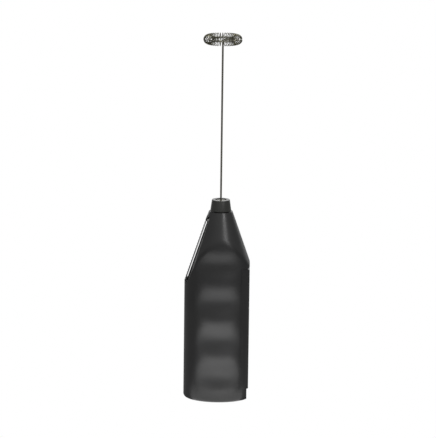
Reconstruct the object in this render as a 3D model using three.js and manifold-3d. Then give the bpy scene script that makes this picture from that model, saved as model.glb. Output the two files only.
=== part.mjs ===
// Battery milk frother, held upright with its whisk at the top.
// Units are millimetres, +Z is up the whisk shaft, and -Y is the face with the finger waves.
// The battery cover is on the +X side and the switch lever on the -X side of the cone.
// The origin is on the base plane, midway across the casing.
import * as THREE from 'three';
import { mergeVertices } from 'three/addons/utils/BufferGeometryUtils.js';
import Module from 'manifold-3d';

const wasm = await Module();
wasm.setup();

// ---- Driving dimensions -------------------------------------------------------------------

// Casing: an oval column whose top is turned down to a cone about the shaft.
const REACH_LEFT = 20.7;          // from the shaft axis to the casing's left side
const REACH_RIGHT = 17.3;         // from the shaft axis to the cover's flat face
const FLAT_CUT = 1.8;             // how much of the whole oval its flat right side takes off
const OVAL_HALF_DEPTH = 15.2;     // at the base
const FACE_LEAN = 0.027;          // the front and rear lean in this much for each millimetre up
const WALL = 1.8;
const BASE_THICKNESS = 1.8;
const BASE_FILLET = 2.0;
const SHELL_GAP = 0.3;            // between the two half shells
const FIT_GAP = 0.3;              // between pieces that are pushed or dropped together
const RUNNING_GAP = 0.1;          // radial, between a pin or shaft and its hole

const CONE_TOP_Z = 111.6;
const CONE_TOP_RADIUS = 6.85;
const CONE_SLOPE = 0.353;         // growth of the radius for each millimetre down
const NECK_RADIUS = 4.2;          // spigot on which the collar is pressed
const NECK_HEIGHT = 4.0;

// Finger waves, pressed into the front and rear faces.
const WAVE_PITCH = 21.6;
const WAVE_DEPTH = 1.0;
const WAVE_FIRST_RIDGE_Z = 5.6;
const WAVE_COUNT = 4;
const WAVE_HALF_WIDTH = 15.5;     // the waves fade to nothing this far from the shaft plane

// Battery cover.
const COVER_BOTTOM_Z = 6.8;
const COVER_TOP_Z = 78.6;
const COVER_WRAP = 4.8;           // how far it reaches round from the flat right side
const COVER_THICKNESS = 1.5;
const COVER_GAP = 0.25;
const BASE_SET_BACK = 0.9;        // the casing's foot stands back from the cover's face
const GRIP_LENGTH = 21.0;
const RIB_PITCH = 1.6;
const RIB_DEPTH = 0.35;
const NAIL_GROOVE_DEPTH = 1.0;
const TONGUE_WIDTH = 3.0;
const TONGUE_HEIGHT = 2.2;
const TONGUE_REACH = 1.8;

// Cells (size AA) and their contacts.
const CELL_RADIUS = 7.1;
const CELL_LENGTH = 50.5;
const CELL_NUB_RADIUS = 2.6;
const CELL_NUB_HEIGHT = 1.4;
const CELL_SPACING = 14.8;
const CONTACT_THICKNESS = 0.4;
const SPRING_HEIGHT = 4.2;
const SPRING_WIRE = 0.7;
const BULKHEAD_THICKNESS = 2.0;

// Motor (flattened can, size 130).
const MOTOR_WIDTH = 20.0;
const MOTOR_DEPTH = 15.1;
const MOTOR_CAN_LENGTH = 19.5;
const MOTOR_CAP_LENGTH = 5.5;
const MOTOR_BOSS_RADIUS = 3.0;
const MOTOR_BOSS_HEIGHT = 1.6;
const MOTOR_SHAFT_RADIUS = 1.0;
const MOTOR_SHAFT_STICK_OUT = 9.0;
const CAN_SHEET = 0.7;
const MOTOR_FLOOR_GAP = 4.6;      // room above the bulkhead for the motor's terminals
const CRADLE_HEIGHT = 8.0;
const CRADLE_LEFT = 1.6;          // of the cradle beyond the motor, on each side
const CRADLE_RIGHT = 3.0;
const TERMINAL_X = 6.4;
const TERMINAL_WIDTH = 2.4;
const TERMINAL_THICKNESS = 0.4;
const TERMINAL_STICK_OUT = 3.0;
const CAP_FLOOR = 0.8;            // thickness of the end cap under its bush
const REAR_BUSH_LENGTH = 2.1;
const ROTOR_RADIUS = 6.0;
const ROTOR_HUB_RADIUS = 2.4;
const ROTOR_NECK_HALF = 1.1;
const SHOE_THICKNESS = 1.2;
const SHOE_GAP = 1.32;            // between two pole shoes
const AIR_GAP = 0.35;
const MAGNET_SPLIT = 2.1;         // half of the gap between the magnets
const WINDING_THICKNESS = 0.9;
const WINDING_OVERHANG = 1.3;
const COMMUTATOR_RADIUS = 2.2;

// Switch lever.
const LEVER_SLOPE = 0.332;        // the lever stands a little steeper than the cone
const CHANNEL_DEPTH = 1.1;        // of the channel cut behind the lever, at its crown
const CHANNEL_CROWN = 0.1;        // fall of the channel's floor for each millimetre off its crown
const LEVER_THICKNESS = 0.3;
const LEVER_RIB_HEIGHT = 0.15;
const LEVER_TOP_Z = 108.9;
const LEVER_TOP_WIDTH = 4.4;
const LEVER_BOTTOM_WIDTH = 5.4;
const LEVER_PIN_RADIUS = 0.7;
const KNUCKLE_RADIUS = 1.5;
const KNUCKLE_WIDTH = 3.2;
const LEVER_TRAVEL = THREE.MathUtils.degToRad(0.65);
const FOOT_WIDTH = 2.4;
const FOOT_HEIGHT = 2.0;
const FOOT_STICK_IN = 0.6;        // how far the foot reaches past the casing's wall
const CARRIER_HEIGHT = 4.3;
const LEAF_LENGTH = 7.7;
const LEAF_WIDTH = 3.0;
const LEAF_THICKNESS = 0.3;
const FOOT_BELOW_LEAF_TOP = 1.0;
const RIVET_HEIGHT = 0.3;
const RIVET_RADIUS = 0.8;
const CARRIER_MARGIN = 1.6;       // of the carrier beyond the strips that it clamps
const EAR_WALL = 0.8;             // around the ends of the lever's pin

// Nose and whisk.
const COLLAR_HEIGHT = 6.5;
const COLLAR_BOTTOM_RADIUS = 6.1;
const COLLAR_TOP_RADIUS = 5.2;
const COLLAR_MOUTH_RADIUS = 3.2;
const SEAL_RECESS = 0.5;          // of the seal below the collar's top
const WHISK_WIRE_RADIUS = 0.55;
const COUPLER_RADIUS = 3.0;
const COUPLER_LENGTH = 11.0;
const RING_CENTRE_Z = 212.2;
const RING_OUTER_RADIUS = 11.25;
const COIL_OUTER_RADIUS = 2.75;
const COIL_WIRE_RADIUS = 0.21;
const COIL_TURNS = 38;
const SPOKE_BEND = 1.6;

// ---- Values worked out from them ----------------------------------------------------------

const SHAFT_X = (REACH_LEFT - REACH_RIGHT) / 2;
const LEFT_X = SHAFT_X - REACH_LEFT;
const RIGHT_X = SHAFT_X + REACH_RIGHT;
const OVAL_HALF_WIDTH = (REACH_LEFT + REACH_RIGHT + FLAT_CUT) / 2;
const OVAL_X = LEFT_X + OVAL_HALF_WIDTH;
const COVER_EDGE_X = RIGHT_X - COVER_WRAP;
const CONE_ANGLE = Math.atan(CONE_SLOPE);
const FAR = 60;                   // reach of a cutting block that has to clear the whole part

const coneRadiusAt = (z) => CONE_TOP_RADIUS + CONE_SLOPE * (CONE_TOP_Z - z);
const neckTopZ = CONE_TOP_Z + NECK_HEIGHT;

// ---- Solids -------------------------------------------------------------------------------

function solidOf(geometry) {
  const bare = geometry.clone();
  bare.deleteAttribute('normal');
  bare.deleteAttribute('uv');
  const welded = mergeVertices(bare, 1e-4);
  return new wasm.Manifold(new wasm.Mesh({
    numProp: 3,
    vertProperties: new Float32Array(welded.attributes.position.array),
    triVerts: new Uint32Array(welded.index.array),
  }));
}

function geometryOf(solid) {
  const mesh = solid.getMesh();
  const geometry = new THREE.BufferGeometry();
  geometry.setAttribute('position', new THREE.BufferAttribute(mesh.vertProperties, 3));
  geometry.setIndex(new THREE.BufferAttribute(mesh.triVerts, 1));
  geometry.computeVertexNormals();
  return geometry;
}

function block(x0, x1, y0, y1, z0, z1) {
  const geometry = new THREE.BoxGeometry(x1 - x0, y1 - y0, z1 - z0);
  geometry.translate((x0 + x1) / 2, (y0 + y1) / 2, (z0 + z1) / 2);
  return solidOf(geometry);
}

// A round bar or cone frustum standing on z0.
function post(radius, z0, z1, { x = SHAFT_X, y = 0, top = radius, sides = 20 } = {}) {
  const geometry = new THREE.CylinderGeometry(top, radius, z1 - z0, sides);
  geometry.rotateX(Math.PI / 2);
  geometry.translate(x, y, (z0 + z1) / 2);
  return solidOf(geometry);
}

// A round bar along Y, centred on the part's middle plane.
function crossBar(radius, length, x, z, sides = 20) {
  const geometry = new THREE.CylinderGeometry(radius, radius, length, sides);
  geometry.translate(x, 0, z);
  return solidOf(geometry);
}

const lengthwise = (shape, z0, z1, curveSegments = 12) => {
  const geometry = new THREE.ExtrudeGeometry(shape, {
    depth: z1 - z0, bevelEnabled: false, curveSegments,
  });
  geometry.translate(0, 0, z0);
  return solidOf(geometry);
};

function alongPath(curve, radius, steps, sides) {
  const section = new THREE.Shape();
  section.absarc(0, 0, radius, 0, 2 * Math.PI);
  const geometry = new THREE.ExtrudeGeometry(section, {
    steps, extrudePath: curve, bevelEnabled: false, curveSegments: sides / 2,
  });
  return geometry;
}

// ---- Casing shape -------------------------------------------------------------------------

// How far the finger waves press the face in at a point of the oval.
function waveDepthAt(x, z) {
  const last = WAVE_FIRST_RIDGE_Z + WAVE_COUNT * WAVE_PITCH;
  if (z < WAVE_FIRST_RIDGE_Z || z > last) return 0;
  const across = Math.min(Math.abs(x - SHAFT_X) / WAVE_HALF_WIDTH, 1);
  const fade = (1 - across ** 4) ** 2;
  const turn = (2 * Math.PI * (z - WAVE_FIRST_RIDGE_Z)) / WAVE_PITCH;
  return WAVE_DEPTH * fade * (1 - Math.cos(turn)) / 2;
}

// Heights of the oval column's rings: close together in the base fillet and along the waves.
function columnLevels(z0, z1, filleted, waved) {
  const levels = [];
  const filletSteps = 4;
  if (filleted) {
    for (let i = 0; i < filletSteps; i += 1) {
      const angle = (Math.PI / 2) * (i / filletSteps);
      levels.push(z0 + BASE_FILLET * (1 - Math.cos(angle)));
    }
  } else {
    levels.push(z0);
  }
  if (waved) {
    const stepsPerWave = 9;
    for (let i = 0; i <= WAVE_COUNT * stepsPerWave; i += 1) {
      levels.push(WAVE_FIRST_RIDGE_Z + (i * WAVE_PITCH) / stepsPerWave);
    }
  }
  levels.push(z1);
  return levels;
}

// The oval column, drawn in by inset all round, with its base fillet and finger waves.
function ovalColumn(inset, z0, z1, { filleted = false, waved = false } = {}) {
  const levels = columnLevels(z0, z1, filleted, waved);
  const halfWidth = OVAL_HALF_WIDTH - inset;
  const halfDepthAt = (z) => OVAL_HALF_DEPTH - inset - FACE_LEAN * z;
  const oval = new THREE.Shape();
  oval.absellipse(0, 0, 1, 1, 0, 2 * Math.PI);
  const geometry = new THREE.ExtrudeGeometry(oval, {
    depth: levels.length - 1, steps: levels.length - 1, bevelEnabled: false, curveSegments: 24,
  });
  const points = geometry.attributes.position;
  for (let i = 0; i < points.count; i += 1) {
    const z = levels[Math.round(points.getZ(i))];
    const rise = filleted ? Math.max(BASE_FILLET - (z - z0), 0) : 0;
    const roundIn = BASE_FILLET - Math.sqrt(BASE_FILLET ** 2 - rise ** 2);
    const x = OVAL_X + points.getX(i) * (halfWidth - roundIn);
    const y = points.getY(i) * (halfDepthAt(z) - roundIn);
    const press = waved ? Math.sign(y) * waveDepthAt(x, z) * Math.abs(points.getY(i)) : 0;
    points.setXYZ(i, x, y - press, z);
  }
  return solidOf(geometry);
}

// The cone about the shaft, drawn in by inset along its radius.
function coneAboutShaft(inset, topZ = CONE_TOP_Z) {
  const lowZ = CONE_TOP_Z - FAR;
  return post(coneRadiusAt(lowZ) - inset, lowZ, topZ, { top: coneRadiusAt(topZ) - inset, sides: 64 })
    .add(post(FAR, -1, lowZ + 0.01, { sides: 8 }));
}

function casingOutside() {
  return ovalColumn(0, 0, CONE_TOP_Z, { filleted: true, waved: true })
    .intersect(coneAboutShaft(0))
    .intersect(block(-FAR, RIGHT_X, -FAR, FAR, -1, FAR * 3));
}

const CELL_BAY_HALF_DEPTH = CELL_RADIUS + 2 * FIT_GAP;
const BAY_FLOOR_Z = BASE_THICKNESS;
const coneInset = WALL / Math.cos(CONE_ANGLE);

// The room inside the casing. Towards the cover it narrows to the width of a cell, so that the
// walls there are thick enough for the ledge on which the cover lies.
function casingInside(extraInset = 0) {
  const rightWallX = RIGHT_X - BASE_SET_BACK - WALL - extraInset;
  const column = ovalColumn(WALL + extraInset, BAY_FLOOR_Z + extraInset, CONE_TOP_Z - WALL)
    .intersect(coneAboutShaft(coneInset + extraInset, CONE_TOP_Z - WALL / 2))
    .intersect(block(-FAR, rightWallX, -FAR, FAR, -1, FAR * 3));
  const ledgeX = COVER_EDGE_X - 2 * WALL - extraInset;
  const wide = block(-FAR, ledgeX, -FAR, FAR, -1, FAR * 3);
  const bay = CELL_BAY_HALF_DEPTH - extraInset;
  const narrow = block(ledgeX - 1, FAR, -bay, bay, -1, FAR * 3);
  return column.intersect(wide.add(narrow));
}

// ---- Levels up the inside -----------------------------------------------------------------

const basePlateZ = BAY_FLOOR_Z + FIT_GAP;
const basePlateTopZ = basePlateZ + CONTACT_THICKNESS;
const cellGap = FIT_GAP / 2;
const leftCellZ = basePlateTopZ + SPRING_HEIGHT + 2 * cellGap;
const topPlateZ = leftCellZ + CELL_LENGTH + cellGap;
const rightCellZ = basePlateTopZ + cellGap;
const bulkheadZ = topPlateZ + CONTACT_THICKNESS + cellGap;
const bulkheadTopZ = bulkheadZ + BULKHEAD_THICKNESS;
const cellsX = RIGHT_X - COVER_THICKNESS - COVER_GAP - FIT_GAP - CELL_RADIUS - CELL_SPACING / 2 - 1;
const leftCellX = cellsX - CELL_SPACING / 2;
const rightCellX = cellsX + CELL_SPACING / 2;

const carrierTopZ = bulkheadTopZ + FIT_GAP + CARRIER_HEIGHT;
const leafTopZ = carrierTopZ + LEAF_LENGTH;
const motorZ = bulkheadTopZ + MOTOR_FLOOR_GAP;
const motorCapTopZ = motorZ + MOTOR_CAP_LENGTH;
const motorTopZ = motorCapTopZ + MOTOR_CAN_LENGTH;
const motorBossTopZ = motorTopZ + MOTOR_BOSS_HEIGHT;
const motorShaftTopZ = motorBossTopZ + MOTOR_SHAFT_STICK_OUT;
const couplerZ = motorShaftTopZ - COUPLER_LENGTH / 2;
const couplerTopZ = couplerZ + COUPLER_LENGTH;

// ---- The lever's sloping frame ------------------------------------------------------------

// Local X runs down the lever from its top, local Z points outwards.
const LEVER_ANGLE = Math.atan(LEVER_SLOPE);
const slopeStart = new THREE.Vector3(SHAFT_X - coneRadiusAt(LEVER_TOP_Z), 0, LEVER_TOP_Z);
const slopeDown = new THREE.Vector3(-Math.sin(LEVER_ANGLE), 0, -Math.cos(LEVER_ANGLE));
const slopeOut = new THREE.Vector3(-Math.cos(LEVER_ANGLE), 0, Math.sin(LEVER_ANGLE));
const slopeFrame = new THREE.Matrix4()
  .makeBasis(slopeDown, new THREE.Vector3(0, -1, 0), slopeOut)
  .setPosition(slopeStart);
const cornerZ = LEVER_TOP_Z - (REACH_LEFT - coneRadiusAt(LEVER_TOP_Z)) / LEVER_SLOPE;
const cornerAlong = (LEVER_TOP_Z - cornerZ - 2 * FIT_GAP) / Math.cos(LEVER_ANGLE);
const knuckleAlong = KNUCKLE_RADIUS + FIT_GAP;
const knuckleIn = -(LEVER_THICKNESS + LEVER_RIB_HEIGHT + KNUCKLE_RADIUS * 0.6);
const footLength = CHANNEL_DEPTH + WALL + FOOT_STICK_IN;
const footTipZ = leafTopZ - FOOT_BELOW_LEAF_TOP;
const footAlong = (slopeStart.z - footLength * Math.sin(LEVER_ANGLE) - footTipZ)
  / Math.cos(LEVER_ANGLE);
// The lever ends at the casing's corner, or at its foot where that is lower.
const leverLength = Math.max(cornerAlong, footAlong + FOOT_HEIGHT);

function slopeBlock(along0, along1, halfWidth, in0, out1) {
  const geometry = new THREE.BoxGeometry(along1 - along0, 2 * halfWidth, out1 - in0);
  geometry.translate((along0 + along1) / 2, 0, (in0 + out1) / 2);
  geometry.applyMatrix4(slopeFrame);
  return solidOf(geometry);
}

const slopePoint = (along, out) => new THREE.Vector3(along, 0, out).applyMatrix4(slopeFrame);
const pinPoint = slopePoint(knuckleAlong, knuckleIn);
const PIN_LENGTH = KNUCKLE_WIDTH + 4.0;

// ---- Casing -------------------------------------------------------------------------------

// The channel behind the lever. Its floor falls away to the front and to the rear.
function leverChannel() {
  const falling = [-1, 1].map((side) => {
    const geometry = new THREE.BoxGeometry(leverLength + 2 * FIT_GAP, FAR / 2, FAR / 4);
    geometry.translate(leverLength / 2, (side * FAR) / 4, FAR / 8);
    geometry.rotateX(-side * Math.atan(CHANNEL_CROWN));
    geometry.translate(0, 0, -CHANNEL_DEPTH);
    geometry.applyMatrix4(slopeFrame);
    return solidOf(geometry);
  });
  return slopeBlock(-FIT_GAP, leverLength + FIT_GAP, FAR / 2, -CHANNEL_DEPTH, FAR / 4)
    .add(falling[0])
    .add(falling[1]);
}

// Everything the casing loses on the lever's side: the channel, the knuckle's pocket and the
// foot's slot.
function leverCuts() {
  const pocketHalf = KNUCKLE_WIDTH / 2 + FIT_GAP;
  const pocket = slopeBlock(-FIT_GAP, knuckleAlong + KNUCKLE_RADIUS + 2 * FIT_GAP, pocketHalf,
    knuckleIn - KNUCKLE_RADIUS - 2 * FIT_GAP, 1);
  const slotHalf = FOOT_WIDTH / 2 + FIT_GAP;
  const slot = slopeBlock(footAlong - FIT_GAP, footAlong + FOOT_HEIGHT + FIT_GAP, slotHalf,
    -CHANNEL_DEPTH - WALL * 2, 1);
  return leverChannel().add(pocket).add(slot);
}

// Ears inside the casing that hold the ends of the lever's pin.
function pinEars() {
  const half = PIN_LENGTH / 2 + EAR_WALL;
  const reach = KNUCKLE_RADIUS + 2 * FIT_GAP;
  const inner = KNUCKLE_WIDTH / 2 + FIT_GAP;
  const ears = slopeBlock(knuckleAlong - reach, knuckleAlong + reach, half,
    knuckleIn - reach, -CHANNEL_DEPTH)
    .subtract(slopeBlock(-FAR, FAR, inner, -FAR, FAR));
  return ears.intersect(casingOutside());
}

function coverSeat() {
  const sill = block(COVER_EDGE_X - COVER_GAP, FAR, -FAR, FAR,
    COVER_BOTTOM_Z - COVER_GAP, COVER_TOP_Z + COVER_GAP);
  return sill.subtract(coverBacking(COVER_THICKNESS + COVER_GAP));
}

// The space behind the cover: the oval, and the flat on the right, both drawn in.
function coverBacking(inset) {
  return ovalColumn(inset, -1, CONE_TOP_Z)
    .intersect(block(-FAR, RIGHT_X - inset, -FAR, FAR, -1, FAR * 3));
}

function footSetBack() {
  const foot = block(COVER_EDGE_X - COVER_GAP, FAR, -FAR, FAR, -1, COVER_BOTTOM_Z);
  return foot.subtract(ovalColumn(BASE_SET_BACK, -1, CONE_TOP_Z)
    .intersect(block(-FAR, RIGHT_X - BASE_SET_BACK, -FAR, FAR, -1, FAR * 3)));
}

// The window through which the cells go in.
function cellWindow() {
  return block(cellsX, FAR, -CELL_BAY_HALF_DEPTH, CELL_BAY_HALF_DEPTH,
    BAY_FLOOR_Z + COVER_BOTTOM_Z - BASE_THICKNESS, bulkheadZ - FIT_GAP);
}

// A V groove for a fingernail at the cover's top edge, cut into the cover and the casing.
function nailGroove() {
  const side = NAIL_GROOVE_DEPTH * Math.SQRT2;
  const geometry = new THREE.BoxGeometry(side, FAR, side);
  geometry.rotateY(Math.PI / 4);
  geometry.translate(RIGHT_X, 0, COVER_TOP_Z + COVER_GAP / 2);
  return solidOf(geometry);
}

// The spigot on top, with the bore that holds the nose bush.
function neck() {
  return post(NECK_RADIUS, CONE_TOP_Z - WALL, neckTopZ);
}

const BUSH_RADIUS = 2.4;
const BUSH_LENGTH = 8.0;
const bushTopZ = neckTopZ - FIT_GAP;
const bushZ = bushTopZ - BUSH_LENGTH;

function noseBore() {
  const bore = post(BUSH_RADIUS + RUNNING_GAP, bushZ - FIT_GAP, neckTopZ + 1);
  return bore.add(post(COUPLER_RADIUS + 2 * FIT_GAP, CONE_TOP_Z - FAR / 4, bushZ - FIT_GAP + 0.01));
}

// A shelf in the cone's top that the nose bush stands on.
function noseShelf() {
  return post(coneRadiusAt(bushZ) - WALL / 2, bushZ - WALL, CONE_TOP_Z - WALL / 2,
    { top: CONE_TOP_RADIUS - WALL / 2 });
}

function casing() {
  const shaftHole = post(WHISK_WIRE_RADIUS + 4 * RUNNING_GAP, bushZ - FAR, neckTopZ + 1);
  return casingOutside()
    .subtract(casingInside())
    .add(noseShelf())
    .add(neck())
    .add(pinEars())
    .subtract(leverCuts())
    .subtract(crossBar(LEVER_PIN_RADIUS + RUNNING_GAP, PIN_LENGTH + FIT_GAP, pinPoint.x, pinPoint.z))
    .subtract(coverSeat())
    .subtract(footSetBack())
    .subtract(cellWindow())
    .subtract(nailGroove())
    .subtract(noseBore())
    .subtract(shaftHole);
}

const wholeCasing = casing();
const frontHalf = block(-FAR, FAR, -FAR, -SHELL_GAP / 2, -1, FAR * 3);
const rearHalf = block(-FAR, FAR, SHELL_GAP / 2, FAR, -1, FAR * 3);

// ---- Battery cover ------------------------------------------------------------------------

function gripGrooves() {
  const first = COVER_TOP_Z - NAIL_GROOVE_DEPTH - RIB_PITCH;
  let grooves = null;
  for (let drop = 0; drop < GRIP_LENGTH; drop += RIB_PITCH) {
    const z = first - drop;
    const groove = block(RIGHT_X - RIB_DEPTH, FAR, -FAR, FAR, z - RIB_PITCH / 4, z + RIB_PITCH / 4);
    grooves = grooves ? grooves.add(groove) : groove;
  }
  return grooves;
}

// Two tongues at the bottom end that hook into the casing.
function coverTongues() {
  const x1 = RIGHT_X - COVER_THICKNESS + 0.01;
  const half = CELL_BAY_HALF_DEPTH - 2 * FIT_GAP;
  const x0 = x1 - TONGUE_REACH;
  const z0 = COVER_BOTTOM_Z + 2 * FIT_GAP;
  const z1 = z0 + TONGUE_HEIGHT;
  return block(x0, x1, -half, TONGUE_WIDTH - half, z0, z1)
    .add(block(x0, x1, half - TONGUE_WIDTH, half, z0, z1));
}

function batteryCover() {
  const panel = casingOutside()
    .intersect(block(COVER_EDGE_X, FAR, -FAR, FAR, COVER_BOTTOM_Z, COVER_TOP_Z))
    .subtract(coverBacking(COVER_THICKNESS));
  return panel.add(coverTongues())
    .subtract(gripGrooves())
    .subtract(nailGroove());
}

// ---- Nose ---------------------------------------------------------------------------------

const collarZ = CONE_TOP_Z + FIT_GAP;
const collarTopZ = collarZ + COLLAR_HEIGHT;

function noseCollar() {
  const inner = NECK_RADIUS + RUNNING_GAP * 1.5;
  const bevel = 0.4;
  const profile = [
    [inner, collarZ], [COLLAR_BOTTOM_RADIUS, collarZ], [COLLAR_TOP_RADIUS, collarTopZ - bevel],
    [COLLAR_TOP_RADIUS - bevel, collarTopZ], [COLLAR_MOUTH_RADIUS, collarTopZ],
    [COLLAR_MOUTH_RADIUS, neckTopZ + FIT_GAP], [inner, neckTopZ + FIT_GAP], [inner, collarZ],
  ];
  return ringAboutShaft(profile, 40);
}

function ringAboutShaft(profile, sides = 32) {
  const geometry = new THREE.LatheGeometry(profile.map(([r, z]) => new THREE.Vector2(r, z)), sides);
  geometry.rotateX(Math.PI / 2);
  geometry.translate(SHAFT_X, 0, 0);
  return solidOf(geometry);
}

function sleeve(outer, inner, z0, z1, sides = 18) {
  return ringAboutShaft([[inner, z0], [outer, z0], [outer, z1], [inner, z1], [inner, z0]], sides);
}

const noseBush = () => sleeve(BUSH_RADIUS, WHISK_WIRE_RADIUS + RUNNING_GAP, bushZ, bushTopZ);

function noseSeal() {
  const z0 = neckTopZ + FIT_GAP;
  const inner = WHISK_WIRE_RADIUS + RUNNING_GAP;
  return sleeve(COLLAR_MOUTH_RADIUS - RUNNING_GAP * 2, inner, z0, collarTopZ - SEAL_RECESS, 32);
}

// ---- Switch -------------------------------------------------------------------------------

function switchLever() {
  const halfTop = LEVER_TOP_WIDTH / 2;
  const halfBottom = LEVER_BOTTOM_WIDTH / 2;
  const outline = new THREE.Shape();
  outline.moveTo(0, -halfTop);
  outline.lineTo(leverLength, -halfBottom);
  outline.lineTo(leverLength, halfBottom);
  outline.lineTo(0, halfTop);
  outline.closePath();
  const thickness = LEVER_THICKNESS + LEVER_RIB_HEIGHT;
  const geometry = new THREE.ExtrudeGeometry(outline, { depth: thickness, bevelEnabled: false });
  geometry.translate(0, 0, -thickness);
  geometry.applyMatrix4(slopeFrame);
  let lever = solidOf(geometry);
  const plainTop = knuckleAlong + KNUCKLE_RADIUS;
  for (let along = plainTop; along < leverLength - RIB_PITCH / 2; along += RIB_PITCH) {
    lever = lever.subtract(slopeBlock(along, along + RIB_PITCH / 2, FAR / 2, -LEVER_RIB_HEIGHT, 1));
  }
  const knuckle = crossBar(KNUCKLE_RADIUS, KNUCKLE_WIDTH, pinPoint.x, pinPoint.z);
  const root = slopeBlock(knuckleAlong - KNUCKLE_RADIUS * 0.8, knuckleAlong + KNUCKLE_RADIUS * 0.8,
    KNUCKLE_WIDTH / 2, knuckleIn, -LEVER_RIB_HEIGHT);
  const foot = slopeBlock(footAlong, footAlong + FOOT_HEIGHT, FOOT_WIDTH / 2, -footLength,
    -LEVER_RIB_HEIGHT);
  return lever.add(knuckle).add(root).add(foot)
    .subtract(crossBar(LEVER_PIN_RADIUS + RUNNING_GAP, FAR, pinPoint.x, pinPoint.z));
}

const leverPin = () => crossBar(LEVER_PIN_RADIUS, PIN_LENGTH, pinPoint.x, pinPoint.z);

const footTip = slopePoint(footAlong, -footLength);
const leafX = footTip.x + FIT_GAP;
const leafTravel = (pinPoint.z - footTip.z) * LEVER_TRAVEL;
const contactX = leafX + LEAF_THICKNESS + leafTravel + RIVET_HEIGHT + RUNNING_GAP / 2;

// A flat strip standing up, clamped in the carrier at its foot.
function strip(x, thickness, z0, z1, halfWidth = LEAF_WIDTH / 2) {
  return block(x, x + thickness, -halfWidth, halfWidth, z0, z1);
}

const switchLeaf = () => strip(leafX, LEAF_THICKNESS, carrierTopZ + RUNNING_GAP * 2, leafTopZ);

function switchContact() {
  const rivet = new THREE.CylinderGeometry(RIVET_RADIUS, RIVET_RADIUS, RIVET_HEIGHT + 0.02, 16);
  rivet.rotateZ(Math.PI / 2);
  rivet.translate(contactX - RIVET_HEIGHT / 2 + 0.01, 0, leafTopZ - 1.5 * RIVET_RADIUS);
  return strip(contactX, LEAF_THICKNESS, carrierTopZ + RUNNING_GAP * 2, leafTopZ)
    .add(solidOf(rivet));
}

// A block on the bulkhead that carries both contacts.
function switchCarrier() {
  const x0 = leafX - CARRIER_MARGIN;
  const x1 = contactX + LEAF_THICKNESS + CARRIER_MARGIN;
  return block(x0, x1, -LEAF_WIDTH, LEAF_WIDTH, bulkheadTopZ + FIT_GAP, carrierTopZ)
    .intersect(casingInside(FIT_GAP));
}

// ---- Cells and contacts -------------------------------------------------------------------

function cell(x, z0, nubUp) {
  const can = CELL_LENGTH - CELL_NUB_HEIGHT;
  const bevel = 0.5;
  const r = CELL_RADIUS;
  const profile = [
    [0, 0], [r - bevel, 0], [r, bevel], [r, can - bevel], [r - bevel, can],
    [CELL_NUB_RADIUS, can], [CELL_NUB_RADIUS, CELL_LENGTH], [0, CELL_LENGTH],
  ];
  const geometry = new THREE.LatheGeometry(profile.map(([a, b]) => new THREE.Vector2(a, b)), 24);
  geometry.rotateX(Math.PI / 2);
  if (!nubUp) {
    geometry.rotateX(Math.PI);
    geometry.translate(0, 0, CELL_LENGTH);
  }
  geometry.translate(x, 0, z0);
  return solidOf(geometry);
}

// A conical coil spring standing on z0, wide at the plate and narrow at the cell.
class ConicalSpring extends THREE.Curve {
  constructor(x, z0, z1, wide, narrow, turns) {
    super();
    Object.assign(this, { x, z0, z1, wide, narrow, turns });
  }

  getPoint(t, target = new THREE.Vector3()) {
    const angle = t * this.turns * 2 * Math.PI;
    const radius = this.wide + (this.narrow - this.wide) * t;
    const z = this.z0 + (this.z1 - this.z0) * t;
    return target.set(this.x + radius * Math.cos(angle), radius * Math.sin(angle), z);
  }
}

function contactSpring(x, plateZ, cellZ) {
  const r = SPRING_WIRE / 2;
  const way = Math.sign(cellZ - plateZ);
  const turns = 3;
  const curve = new ConicalSpring(x, plateZ + way * (r + cellGap), cellZ - way * (r + cellGap),
    CELL_RADIUS * 0.62, CELL_RADIUS * 0.3, turns);
  return solidOf(alongPath(curve, r, turns * 12, 6));
}

function contactPlate(x0, x1, z0) {
  const half = CELL_RADIUS * 0.8;
  return block(x0, x1, -half, half, z0, z0 + CONTACT_THICKNESS);
}

const LEAD_RADIUS = 0.6;
const LEAD_HOLE_BACK = 3.0;
const LEAD_HOLE_Y = 8.6;
const plateReach = CELL_RADIUS * 0.78;
const baseBridge = () => contactPlate(leftCellX - plateReach, rightCellX + plateReach, basePlateZ);
const topPlate = (x) => contactPlate(x - plateReach, x + plateReach, topPlateZ);

function contactBulkhead() {
  const slab = block(-FAR, FAR, -FAR, FAR, bulkheadZ, bulkheadTopZ);
  const leadHole = (x, y) => post(LEAD_RADIUS + 0.8, bulkheadZ - 1, bulkheadTopZ + 1,
    { x, y, sides: 12 });
  return slab.intersect(casingInside(FIT_GAP))
    .intersect(block(-FAR, RIGHT_X - COVER_THICKNESS - 2 * FIT_GAP, -FAR, FAR, 0, FAR * 3))
    .subtract(leadHole(leftCellX - LEAD_HOLE_BACK, -LEAD_HOLE_Y))
    .subtract(leadHole(rightCellX - LEAD_HOLE_BACK, LEAD_HOLE_Y));
}

// ---- Motor --------------------------------------------------------------------------------

// The can's outline: round sides of the full width with the front and rear cut flat.
function motorOutline(inset) {
  const radius = MOTOR_WIDTH / 2 - inset;
  const flat = MOTOR_DEPTH / 2 - inset;
  const edge = Math.asin(flat / radius);
  const outline = new THREE.Shape();
  outline.absarc(SHAFT_X, 0, radius, -edge, edge, false);
  outline.absarc(SHAFT_X, 0, radius, Math.PI - edge, Math.PI + edge, false);
  outline.closePath();
  return outline;
}

function motorCan() {
  return lengthwise(motorOutline(0), motorCapTopZ, motorTopZ)
    .add(post(MOTOR_BOSS_RADIUS, motorTopZ - 0.01, motorBossTopZ))
    .subtract(lengthwise(motorOutline(CAN_SHEET), motorCapTopZ - 1, motorTopZ - CAN_SHEET))
    .subtract(post(MOTOR_BOSS_RADIUS - CAN_SHEET, motorTopZ - 1, motorBossTopZ - CAN_SHEET))
    .subtract(post(MOTOR_SHAFT_RADIUS + 3 * RUNNING_GAP, motorTopZ, motorBossTopZ + 1));
}

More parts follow.
